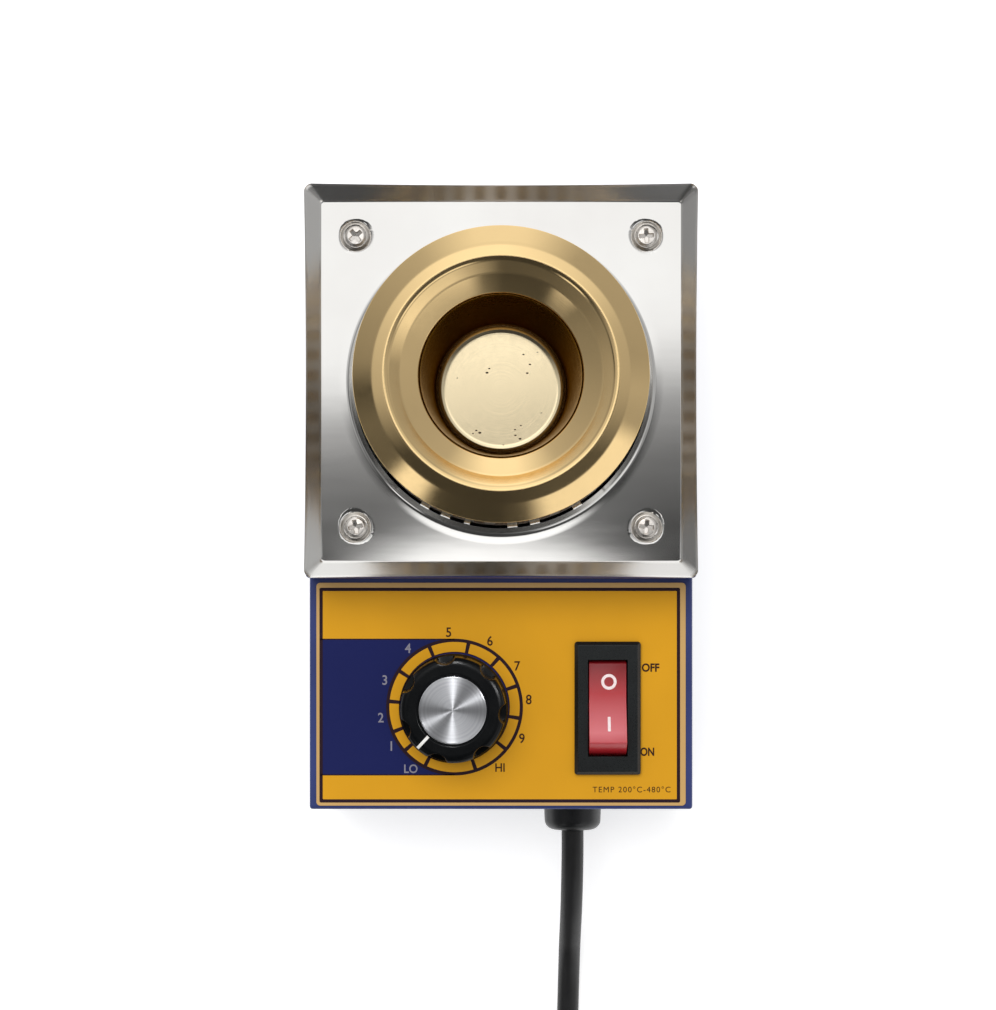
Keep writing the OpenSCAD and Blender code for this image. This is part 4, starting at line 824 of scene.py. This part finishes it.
class POT_OT_tray(bpy.types.Operator):
    """Presses the stainless tray: lip, dimples, floor and raised border"""

    bl_idname = "pot.tray"
    bl_label = "Tray"

    def execute(self, context):
        sheet = context.scene.pot_sizes.sheet / MM
        half = (TRAY_HIGH[0] - TRAY_LOW[0]) / 2
        top = TRAY_HIGH[2]
        floor = top - 2.55
        foot = 0.16
        # angles gather towards the corners, where the border turns
        t = 1 - (1 - np.linspace(0, 1, 56, endpoint=False)) ** 1.7
        eighth = t * TURN / 8
        quarter = np.concatenate([eighth, TURN / 4 - np.append(eighth[1:], TURN / 8)[::-1]])
        angle = np.concatenate([quarter + k * TURN / 4 for k in range(4)])
        lip = rounded([(37.4, floor + 1.6), (37.45, floor + 1.55), (38.9, floor, 1.5),
                       (41.5, floor)], 8)
        inner = square_reach(half - 4.3, 0.8, 0, angle)
        bend = square_reach(half - 4.05, 0.8, 0, angle)
        rim = square_reach(half - 0.2, 2.2, 0.5, angle)
        edge = square_reach(half, 2.2, 0.5, angle)
        rows = [(r + 0 * angle, z) for r, z in lip]
        rows += [(lip[-1, 0] + (inner - lip[-1, 0]) * k, floor)
                 for k in np.linspace(0, 1, 80)[1:]]
        rows += [(inner + (bend - inner) * k, floor + foot * k ** 2) for k in (0.35, 0.7, 1.0)]
        rows += [(bend + (rim - bend) * k, floor + foot + (top - floor - foot - 0.2) * k)
                 for k in (0.12, 0.3, 0.5, 0.7, 0.85, 1.0)]
        rows += [(rim + (edge - rim) * k, top - 0.2 + 0.2 * math.sin(TURN / 4 * k))
                 for k in (0.4, 0.75)]
        r = np.stack([row[0] for row in rows], 1)
        z = np.array([row[1] for row in rows]) + 0 * r
        x, y = r * np.cos(angle)[:, None], r * np.sin(angle)[:, None]
        # each dimple is a flat round pit that eases off at its wall
        screw = (SCREW_HIGH[0] - SCREW_LOW[0]) / 2 - HEAD
        away = np.hypot(np.abs(x) - screw, np.abs(y) - screw)
        z = z - 1.0 * (1 - ease((away - 3.1) / 1.15))
        upper = np.stack([x + POT_AXIS[0], y + POT_AXIS[1], z], -1)
        lower = upper - (0, 0, sheet)
        shape = grid(np.concatenate([upper, lower[:, ::-1]], 1), True, True)
        finish_piece("pressed_tray", shape, "polished_stainless", ("tray",), 40)
        return {"FINISHED"}


class POT_OT_crucible(bpy.types.Operator):
    """Spins the crucible and lays the crumbs of burnt flux in it"""

    bl_idname = "pot.crucible"
    bl_label = "Crucible"

    def execute(self, context):
        wall = context.scene.pot_sizes.wall / MM
        crest = POT_HIGH[2]
        edge = (POT_HIGH[0] - POT_LOW[0]) / 2
        inside = rounded([
            (0, crest - WELL_DEEP), (17.1, crest - WELL_DEEP, 2.6),
            (20.1, crest - MOUTH_DEEP, 1.8), (25.0, crest - 2.8, 6),
            (28.25, crest + 0.31, 2.25), (31.8, crest - 0.66, 7), (edge, crest - 3)], 14)
        inside[:, 1] += min(0, crest - inside[:, 1].max())
        radial = np.linspace(0.4, inside[1, 0] - 0.3, 14)
        floor = np.stack([radial, np.full(14, inside[0, 1])], -1)
        inside = np.vstack([inside[:1], floor, inside[1:]])
        outside = beside(inside, wall)
        outside[0, 0] = 0
        rim = rounded([tuple(inside[-1]), (*(inside[-1] + (0.28, -0.1)), 0.2),
                       tuple(outside[-1])], 5)[1:-1]
        shape = turned(np.vstack([inside, rim, outside[::-1]]), POT_AXIS, 256)
        finish_piece("spun_crucible", shape, "gold_coated_steel", ("crucible",), 50)
        self.crumbs(inside[0, 1])
        return {"FINISHED"}

    def crumbs(self, floor):
        """Low domes of a few tenths of a millimetre, scattered near two sides of the well."""
        spots = [(-3.7, 4.4, 0.42), (-3.1, 5.5, 0.3), (6.9, 4.3, 0.36), (5.9, 9.2, 0.3),
                 (7.6, 6.6, 0.34), (-5.6, -11.4, 0.42), (-6.5, -10.8, 0.3), (3.8, -12.1, 0.34),
                 (5.0, -13.0, 0.4), (5.2, -9.5, 0.26), (3.7, -10.6, 0.3), (-7.4, -11.6, 0.25),
                 (0.6, -14.6, 0.22), (-11.5, 3.0, 0.2), (10.6, -6.2, 0.22), (9.6, 9.8, 0.2)]
        quarter = np.linspace(0, TURN / 4, 5)
        parts = []
        for x, y, size in spots:
            size *= 0.75
            dome = np.stack([size * np.cos(quarter), floor + 0.35 * size * np.sin(quarter)], -1)
            low = np.array([(0, floor), (size, floor)])
            points, faces = turned(np.vstack([low, dome[1:]]), (0, 0), 10)
            points = points * (1.35, 0.8, 1) + (POT_AXIS[0] + x, POT_AXIS[1] + y, 0)
            parts.append((points, faces))
        finish_piece("flux_crumbs", joined(*parts), "burnt_flux", sharp=60)


class POT_OT_tips(bpy.types.Operator):
    """Bends out the tips of a few of the heater shroud's front teeth"""

    bl_idname = "pot.tips"
    bl_label = "Shroud tips"

    def execute(self, context):
        # by number of the tooth, clockwise from the rear: how wide its bent tip is
        bent = {17: 1.0, 19: 1.0, 20: 1.0, 22: 0.6, 23: 1.0, 24: 1.0}
        pitch = TURN / 42
        half_tooth = 1.2
        radius = (SHROUD_HIGH[0] - SHROUD_LOW[0]) / 2
        low = SHROUD_HIGH[2] - 1.1
        side = rounded([(radius - 0.1, low), (radius + 0.1, low + 0.1, 0.2),
                        (radius + 1.25, low + 0.95)], 4)
        r, z = np.vstack([side, beside(side, -0.4)[::-1]]).T[:, None]
        parts = [capped(swung(POT_AXIS, TURN / 4 - (tooth + 0.5) * pitch, r,
                              np.array([-half_tooth, half_tooth])[:, None] * width, z))
                 for tooth, width in bent.items()]
        finish_piece("shroud_tips", joined(*parts), "tips_painted_bright", sharp=30)
        return {"FINISHED"}


# Radius of a tray screw's head
HEAD = 2.85


def pan_head(at, turn):
    """Cross-recess pan head with its shank.

    The dome is a profile turned round the axis. The recess lowers every point whose distance
    across either arm is under the arm's half width, by a depth that eases off at its walls.
    """
    height, reach, sides = 1.9, 5.3, 144
    dome = rounded([(HEAD, 0), (HEAD, height * 0.62, 0.4), (HEAD * 0.8, height * 0.95, 0.7),
                    (0.02, height)], 9)
    rings = np.linspace(0.02, 2.2, 44)[::-1]
    z_top = np.interp(rings, dome[::-1, 0], dome[::-1, 1])
    shoulder = dome[dome[:, 0] > 2.25]
    profile = np.vstack([shoulder, np.stack([rings, z_top], -1)])
    angle = around(sides)[:, None]
    r, z = profile.T[:, None]
    x, y = r * np.cos(angle), r * np.sin(angle)
    arm = 0.42 + 0.16 * np.clip(1.3 - r, 0, 1)
    across = np.minimum(np.abs(x), np.abs(y))
    length = np.maximum(np.abs(x), np.abs(y))
    inside = (1 - ease((across - arm) / 0.12)) * (1 - ease((length - 1.6) / 0.3))
    z = z - inside * (0.95 - 0.3 * length)
    head, quads = grid(swung(at, turn, x, y, at[2] + z), True, False)
    step = len(profile)
    inner = [i * step + step - 1 for i in range(sides)]
    outer = [i * step for i in range(sides)][::-1]
    shank = prism(circle_outline(1.5, at[:2], 24), at[2] - reach, at[2])
    return joined((head, quads + [inner, outer]), shank)


class POT_OT_screws(bpy.types.Operator):
    """Sets the four tray screws in their dimples"""

    bl_idname = "pot.screws"
    bl_label = "Tray screws"

    def execute(self, context):
        seat = TRAY_HIGH[2] - 4.0
        xs = (SCREW_LOW[0] + HEAD, SCREW_HIGH[0] - HEAD)
        ys = (SCREW_LOW[1] + HEAD, SCREW_HIGH[1] - HEAD)
        turns = {(0, 1): 38, (1, 1): 4, (0, 0): 12, (1, 0): -6}
        parts = [pan_head((xs[i], ys[j], seat), math.radians(a)) for (i, j), a in turns.items()]
        finish_piece("cross_screws", joined(*parts), "steel_screw", ("tray_screws",), 38)
        return {"FINISHED"}


class POT_OT_label(bpy.types.Operator):
    """Prints the film: fields, frame line, dial and lettering"""

    bl_idname = "pot.label"
    bl_label = "Panel print"

    def execute(self, context):
        sx, sy = SWITCH_AXIS
        cx, cy = dial = KNOB_AXIS + (0.2, 0.25)
        left, right = -47.25, 46.6
        front, rear = LABEL_LOW[1] + 0.8, LABEL_HIGH[1] - 1.3
        middle = ((left + right) / 2, (front + rear) / 2)
        width, length = right - left, rear - front
        line = 0.85
        # radii of the dial's outer edge, and of its blocks' two sides
        reach, block_in, block_out = 17.8, 14.2, 16.95

        def layer(k):
            return PRINT_Z + 0.01 + 0.012 * k, PRINT_Z + 0.02 + 0.012 * k

        frame_line = box_outline(width, length, 0.4, 3, middle)
        hole = box_outline(14.0, 31.0, 0.4, 3, SWITCH_AXIS)
        self.print("panel_field", band(frame_line, hole, *layer(0)), "panel_ink")
        a = np.linspace(-TURN / 4, TURN / 4, 97)
        rounded_end = np.stack([cx + reach * np.cos(a), cy + reach * np.sin(a)], -1)
        corner = np.array([(left + 0.3, cy + reach), (left + 0.3, cy - reach)])
        self.print("dial_field", prism(np.vstack([rounded_end, corner]), *layer(1)),
                   "field_ink")
        lines = [band(frame_line, box_outline(width - 2 * line, length - 2 * line, 0.2, 3,
                                              middle), *layer(2)),
                 band(circle_outline(reach, dial, 192), circle_outline(block_in, dial, 192),
                      *layer(2))]
        for side in (-1, 1):
            bar = box_outline(cx - left, 0.3, 0.05, 1,
                              ((cx + left) / 2, cy + side * (reach - 0.15)))
            lines.append(prism(bar, *layer(2)))
        self.print("frame_lines", joined(*lines), "line_ink")
        # directions of the dial's ticks and marks, in degrees clockwise from the rear
        ticks = [-198.6, -153.4, -131.2, -112, -85, -56.8, -22.7, 12.4, 41.9, 71.2, 99.8, 129.5,
                 161.4]
        blocks = []
        for start, end in zip(ticks, ticks[1:]):
            a = np.radians(90 - np.linspace(start + 1.75, end - 1.75, 24))
            ring = np.stack([np.cos(a), np.sin(a)], -1)
            blocks.append(prism(np.vstack([ring * block_out, ring[::-1] * (block_in + 0.2)])
                                + dial, *layer(3)))
        self.print("dial_blocks", joined(*blocks), "panel_ink")
        top = layer(4)[0]
        marks = [("LO", -144.8), ("1", -122), ("2", -98.6), ("3", -69.2), ("4", -38.6),
                 ("5", -4.5), ("6", 28.3), ("7", 57), ("8", 84.6), ("9", 115.3), ("HI", 143.3)]
        pale, dark = [], []
        for text, angle in marks:
            a = math.radians(90 - angle)
            out, size = (19.4, 3.5) if len(text) == 1 else (19.8, 3.1)
            at = (cx + out * math.cos(a), cy + out * math.sin(a), top)
            (pale if angle < -10 else dark).append(lettering(text, size, at, 0.045, 0.92))
        dark += [lettering("OFF", 2.9, (sx + 11.2, sy + 10.4, top), 0.09, 0.9),
                 lettering("ON", 2.9, (sx + 10.4, sy - 11.5, top), 0.09, 0.8),
                 lettering("TEMP 200°C-480°C", 2.1, (sx + 6.3, front + 3.3, top), 0.0, 1.0,
                           1.2)]
        self.print("pale_letters", joined(*pale), "pale_ink")
        self.print("dark_letters", joined(*dark), "letter_ink")
        return {"FINISHED"}

    def print(self, name, shape, finish):
        """One ink layer on the film."""
        finish_piece(name, shape, finish)


def smooth_min(a, b, blend):
    """Lower of two values, rounded where they meet."""
    h = np.clip(0.5 + 0.5 * (b - a) / blend, 0, 1)
    return b * (1 - h) + a * h - blend * h * (1 - h)


class POT_OT_knob(bpy.types.Operator):
    """Moulds the fluted knob, its metal cap and its pointer line"""

    bl_idname = "pot.knob"
    bl_label = "Knob"

    def execute(self, context):
        sizes = context.scene.pot_sizes
        low, high = KNOB_LOW[2], KNOB_HIGH[2]
        skirt = (KNOB_HIGH[0] - KNOB_LOW[0]) / 2
        profile = even_profile(rounded([
            (0, low), (skirt - 0.3, low, 0.3), (skirt, low + 1.8, 0.5),
            (13.7, low + 2.8, 0.4), (13.5, high, 2.0), (9.3, high, 0.3),
            (8.9, high - 0.3), (0, high - 0.3)], 9), 0.16)
        pointer = TURN / 4 - sizes.pointer
        angle = around(420)[:, None]
        r, z = profile.T[:, None] + 0 * angle
        # each flute is a round groove of the cutter's radius, leaning in towards the top
        start, cutter = low + 2.9, 2.9
        pitch = TURN / sizes.flutes
        off = (angle - pointer) % pitch - pitch / 2
        centre = 12.3 - 0.7 * np.clip((z - start) / (high - start), 0, 1) + cutter
        far = centre * np.cos(off)
        under = cutter ** 2 - (centre * np.sin(off)) ** 2
        flute = np.where(under > 0, far - np.sqrt(np.maximum(under, 0)),
                         far + 2 * np.sqrt(np.maximum(-under, 0)))
        cut = np.minimum(r, smooth_min(r, flute, 0.4))
        r = np.where((z > start) & (r > 9.6), cut, r)
        points = swung(KNOB_AXIS, 0.0, r * np.cos(angle), r * np.sin(angle), z)
        finish_piece("fluted_knob", grid(points, True, False), "knob_bakelite", ("knob",), 70,
                     "knob")
        self.cap()
        self.pointer_line(profile, pointer)
        return {"FINISHED"}

    def cap(self):
        """Faced disc with a small chamfer and a faint dish."""
        radius = (CAP_HIGH[0] - CAP_LOW[0]) / 2
        low, high = CAP_LOW[2], CAP_HIGH[2]
        profile = np.vstack([
            [(0, low), (radius, low)],
            rounded([(radius, high - 0.35), (radius, high - 0.1, 0.08), (radius - 0.25, high)], 4),
            np.stack([np.linspace(radius - 0.4, 0, 30), np.full(30, high - 0.02)], -1)])
        finish_piece("faced_cap", turned(profile, KNOB_AXIS), "spun_aluminium", ("knob_cap",),
                     30, "knob")

    def pointer_line(self, profile, turn):
        """Paint in a shallow groove: the knob's own profile from the cap over the shoulder."""
        keep = ((profile[:, 0] > 8.95) & (profile[:, 0] < 13.1)
                & (profile[:, 1] > KNOB_HIGH[2] - 1.6))
        path = profile[keep]
        r, z = np.vstack([beside(path, 0.05), beside(path, -0.25)[::-1]]).T[:, None]
        line = swung(KNOB_AXIS, turn, r, np.array([-0.38, 0.38])[:, None], z)
        finish_piece("pointer_line", capped(line), "pointer_paint", ("knob_pointer",), 40,
                     "knob")


def even_profile(profile, step):
    """Profile cut into even steps, its own corners kept."""
    parts = []
    for a, b in zip(profile[:-1], profile[1:]):
        count = max(1, int(np.linalg.norm(b - a) / step))
        parts.append(a + (b - a) * np.linspace(0, 1, count, endpoint=False)[:, None])
    return np.vstack(parts + [profile[-1:]])


class POT_OT_switch(bpy.types.Operator):
    """Moulds the switch's bezel, rocker and marks"""

    bl_idname = "pot.switch"
    bl_label = "Rocker switch"

    def execute(self, context):
        softened("switch_housing", "switch_body", "root", 0.22)
        softened("tinted_rocker", "rocker", "rocker", 0.3)
        joint = next(j for j in frame["joints"] if j["child"] == "rocker")
        pivot = np.array(joint["pos_m"]) / MM
        half_turn = math.radians(sum(joint["range_deg"]) / 2)
        self.marks(pivot, half_turn)
        return {"FINISHED"}

    def tipped(self, shape, pivot, tilt):
        """The shape, made level about the pivot, as it lies at rest."""
        points, faces = shape
        x, y, z = points.T
        cos, sin = math.cos(-tilt), math.sin(-tilt)
        return np.stack([pivot[0] + x, pivot[1] + y * cos - z * sin,
                         pivot[2] + y * sin + z * cos], -1), faces

    def marks(self, pivot, tilt):
        """White ring on the rear half and bar on the front half, each flat on its face.

        Both faces meet in a valley and rise by the tilt to either end, before the rocker tips.
        """
        valley = TIP_Z - TIP_Y * math.tan(tilt)
        ring = band(circle_outline(2.0, (0.3, 5.65), 48),
                    circle_outline(1.25, (0.3, 5.65), 48), 0.0, 0.04)
        bar = prism(box_outline(0.75, 3.9, 0.15, 2, (0.3, -5.4)), 0.0, 0.04)
        parts = []
        for (points, faces), side in ((ring, 1), (bar, -1)):
            x, y, z = points.T
            lifted = np.stack([x, y, valley + side * y * math.tan(tilt) + z], -1)
            parts.append(self.tipped((lifted, faces), pivot, tilt))
        finish_piece("rocker_marks", joined(*parts), "rocker_mark", (), 40, "rocker")


class POT_OT_finishes(bpy.types.Operator):
    """Gives each remaining CAD node its finish"""

    bl_idname = "pot.finishes"
    bl_label = "Other finishes"

    def execute(self, context):
        for name, node in frame["nodes"].items():
            node.data.materials.clear()
            node.data.materials.append(MATERIALS[SLOT_OF[name]])
        return {"FINISHED"}


# ---------- studio ----------


def studio_floor():
    """White sweep: it takes the shadow, and adds a little light of its own to what looks at it."""
    material, tree, out, coords = blank("white studio paper")
    grain = noise(tree, coords, per_metre(60.0), 2.0)
    base = add(tree, "ShaderNodeBsdfPrincipled", {
        "Base Color": ramp(tree, grain, [(0.3, "#e9e9e9"), (0.7, "#ececec")]),
        "Roughness": 0.9, "Specular IOR Level": 0.0})
    rays = add(tree, "ShaderNodeLightPath")
    seen = rays.outputs["Is Camera Ray"]
    for kind in ("Is Glossy Ray", "Is Transmission Ray"):
        seen = maths(tree, "MAXIMUM", seen, rays.outputs[kind])
    light = add(tree, "ShaderNodeEmission", {"Strength": maths(tree, "MULTIPLY", seen, 0.55)})
    total = add(tree, "ShaderNodeAddShader", {0: base.outputs[0], 1: light.outputs[0]})
    tree.links.new(total.outputs[0], out.inputs["Surface"])
    half = 3.0
    mesh = bpy.data.meshes.new("studio_floor")
    mesh.from_pydata([(-half, -half, 0), (half, -half, 0), (half, half, 0), (-half, half, 0)],
                     [], [[0, 1, 2, 3]])
    mesh.materials.append(material)
    placed("studio_floor", mesh)


def light_row(tree, factor, stops):
    """Light by place, from (place, level) stops; a ramp holds no more than 1, so half of it."""
    halved = ramp(tree, factor, [(at, (level / 2,) * 3) for at, level in stops])
    return maths(tree, "MULTIPLY", halved, 2.0)

def studio_world(ambient):
    """Even light for matt surfaces, and a studio for what mirrors it.

    The mirrored studio is four bands by the angle from the zenith. In each, the light is read
    off a row by azimuth, clockwise from the rear, and a smooth step leads to the next band.
    Right overhead a big soft box fades out towards the front, where the room is dim but for
    a small oval light.
    """
    rows = [
        (10, 20, [(-180, 0.05), (-150, 0.055), (-120, 0.06), (-90, 0.5), (-60, 0.68),
                  (-30, 1.1), (0, 1.25), (30, 0.92), (60, 0.54), (90, 0.45), (120, 0.1),
                  (150, 0.1), (180, 0.05)]),
        (41, 49, [(-180, 0.05), (-147, 0.06), (-141, 1.1), (-131, 1.2), (-125, 0.12),
                  (-105, 0.16), (-90, 0.08), (-78, 0.3), (-60, 0.36), (-30, 0.55),
                  (-10, 0.95), (10, 0.95), (30, 0.42), (60, 0.43), (76, 0.4), (90, 0.5),
                  (105, 0.4),
                  (113, 1.1), (158, 1.05), (168, 0.1), (180, 0.06)]),
        (60, 65, [(-180, 0.1), (-150, 0.08), (-120, 0.25), (-90, 0.31), (-60, 0.4),
                  (-30, 0.5), (-8, 1.1), (8, 1.1), (30, 0.5), (60, 0.46), (90, 0.5),
                  (120, 0.5), (150, 0.4), (180, 0.11)]),
        (70, 80, [(-180, 0.1), (-150, 0.125), (-120, 0.2), (-90, 0.37), (-60, 0.48),
                  (-30, 0.71), (-10, 1.3), (10, 1.3), (30, 0.55), (60, 0.42), (90, 0.39),
                  (115, 1.05), (150, 0.87), (180, 0.1)])]
    world = bpy.data.worlds.new("studio")
    bpy.context.scene.world = world
    # no lamp is made of the world, because each kind of ray reads a light of its own
    world.cycles.sampling_method = "NONE"
    world.use_nodes = True
    tree = world.node_tree
    tree.nodes.clear()
    out = add(tree, "ShaderNodeOutputWorld")
    way = add(tree, "ShaderNodeTexCoord").outputs["Generated"]
    x, y, z = (part_of(tree, way, axis) for axis in "XYZ")

    # the big soft box's edge leans a little to one side
    light = light_row(tree, maths(tree, "MULTIPLY_ADD", x, -0.12, y), [
        (0.022, 0.055), (0.042, 0.13), (0.06, 0.2), (0.08, 0.38), (0.09, 0.6), (0.1, 0.98),
        (0.11, 1.12), (0.18, 1.15)])
    offset = vectors(tree, "ADD", way, (0.004, -0.003, 0.0))
    oval = vectors(tree, "MULTIPLY", offset, (1 / 0.066, 1 / 0.031, 0.0))
    small = spread(tree, vectors(tree, "LENGTH", oval), 1.15, 0.7, 0.0, 1.35,
                   interpolation_type="SMOOTHSTEP")
    light = maths(tree, "ADD", light, small)
    share = spread(tree, maths(tree, "ARCTAN2", x, y), -math.pi, math.pi)
    zenith = maths(tree, "ARCCOSINE", z)
    for start, end, row in rows:
        level = light_row(tree, share, [(azimuth / 360 + 0.5, level) for azimuth, level in row])
        step = spread(tree, zenith, math.radians(start), math.radians(end),
                      interpolation_type="SMOOTHSTEP")
        light = add(tree, "ShaderNodeMix", {0: step, 2: light, 3: level}).outputs[0]
    mirrored, even, white = (
        add(tree, "ShaderNodeBackground", {"Color": colour("#ffffff"), "Strength": strength})
        for strength in (light, ambient, 1.0))
    rays = add(tree, "ShaderNodeLightPath")
    shiny = maths(tree, "MAXIMUM", rays.outputs["Is Glossy Ray"],
                  rays.outputs["Is Transmission Ray"])
    first = add(tree, "ShaderNodeMixShader", {0: shiny, 1: even.outputs[0],
                                              2: mirrored.outputs[0]})
    last = add(tree, "ShaderNodeMixShader", {0: rays.outputs["Is Camera Ray"],
                                             1: first.outputs[0], 2: white.outputs[0]})
    tree.links.new(last.outputs[0], out.inputs["Surface"])


def area_lamp(name, place_mm, aim_mm, size_mm, power, shown):
    """Soft lamp of one size, aimed at a point; shown is whether metals mirror it."""
    lamp = bpy.data.lights.new(name, "AREA")
    lamp.shape = "RECTANGLE"
    lamp.size, lamp.size_y = size_mm[0] * MM, size_mm[1] * MM
    lamp.energy = power
    holder = placed(name, lamp)
    holder.location = Vector(place_mm) * MM
    holder.rotation_mode = "QUATERNION"
    way = Vector(aim_mm) - Vector(place_mm)
    holder.rotation_quaternion = way.to_track_quat("-Z", "Y")
    holder.visible_glossy = shown
    return holder


class POT_OT_stage(bpy.types.Operator):
    """Sets the camera, the floor, the world and the lamps"""

    bl_idname = "pot.stage"
    bl_label = "Studio"

    def execute(self, context):
        studio = context.scene.pot_studio
        data = bpy.data.cameras.new("camera")
        data.lens = studio.lens
        data.sensor_width = 36
        data.shift_x = -0.003
        data.shift_y = 0.104
        data.clip_start, data.clip_end = 0.05, 20
        # it looks straight down on the step between panel and tray; the shift alone frames it
        camera = placed("camera", data)
        camera.location = (0, -28.1 * MM, studio.height)
        context.scene.camera = camera
        studio_floor()
        studio_world(studio.ambient)
        area_lamp("soft lamp", (-150, 300, 950), (0, 0, 50), (700, 700), studio.key, False)
        self.linked_lamps((*KNOB_AXIS, CAP_HIGH[2]))
        context.scene.view_settings.view_transform = "Standard"
        return {"FINISHED"}

    def linked_lamps(self, cap):
        """Lamps that only some pieces mirror: over the bright metal, and strips by the knob."""
        for k, (power, names) in enumerate(((0.035, ["spun_crucible"]),
                                            (0.16, ["cross_screws", "shroud_tips"]))):
            over = area_lamp("lamp overhead %d" % k, (0, 100, 690), (0, 30, 60), (250, 200),
                             power, True)
            self.only(over, names)
        knob = ["faced_cap", "fluted_knob"]
        # azimuth clockwise from the rear, width, power, and what it lights
        for k, (azimuth, wide, power, names) in enumerate((
                (0, 40, 2.3, knob), (66, 40, 1.7, knob), (140, 480, 1.1, knob[:1]),
                (320, 480, 1.0, knob[:1]))):
            a = math.radians(azimuth)
            away = Vector((math.sin(a) * 380, math.cos(a) * 380, 420))
            strip = area_lamp("strip lamp %d" % k, Vector(cap) + away, cap, (wide, 300), power,
                              True)
            self.only(strip, names)

    def only(self, lamp, names):
        """Lets the lamp light these pieces alone."""
        pieces = bpy.data.collections.new("lit by the " + lamp.name)
        for name in names:
            pieces.objects.link(bpy.data.objects[name])
        lamp.light_linking.receiver_collection = pieces


class POT_PT_panel(bpy.types.Panel):
    """The pot's settings and makers in the 3D view's sidebar"""

    bl_idname = "POT_PT_panel"
    bl_label = "Solder Pot"
    bl_space_type = "VIEW_3D"
    bl_region_type = "UI"
    bl_category = "Solder Pot"

    def draw(self, context):
        for group in (context.scene.pot_sizes, context.scene.pot_colours,
                      context.scene.pot_studio):
            for key in group.__annotations__:
                self.layout.prop(group, key)
        for operator in OPERATORS:
            self.layout.operator(operator.bl_idname)


GROUPS = {"pot_sizes": PotSizes, "pot_colours": PotColours, "pot_studio": PotStudio}
OPERATORS = (POT_OT_finishes, POT_OT_cord, POT_OT_tray, POT_OT_crucible, POT_OT_tips,
             POT_OT_screws, POT_OT_label, POT_OT_knob, POT_OT_switch, POT_OT_stage)


def register():
    """Registers the settings, the makers and the panel."""
    for cls in (*GROUPS.values(), *OPERATORS, POT_PT_panel):
        bpy.utils.register_class(cls)
    for name, group in GROUPS.items():
        setattr(bpy.types.Scene, name, bpy.props.PointerProperty(type=group))


def unregister():
    """Takes them out again, last first."""
    for name in GROUPS:
        delattr(bpy.types.Scene, name)
    for cls in (POT_PT_panel, *reversed(OPERATORS), *reversed(list(GROUPS.values()))):
        bpy.utils.unregister_class(cls)


def main():
    """Builds everything in order."""
    register()
    make_materials()
    for operator in OPERATORS:
        getattr(bpy.ops.pot, operator.bl_idname.split(".")[1])()


if __name__ == "__main__":
    main()
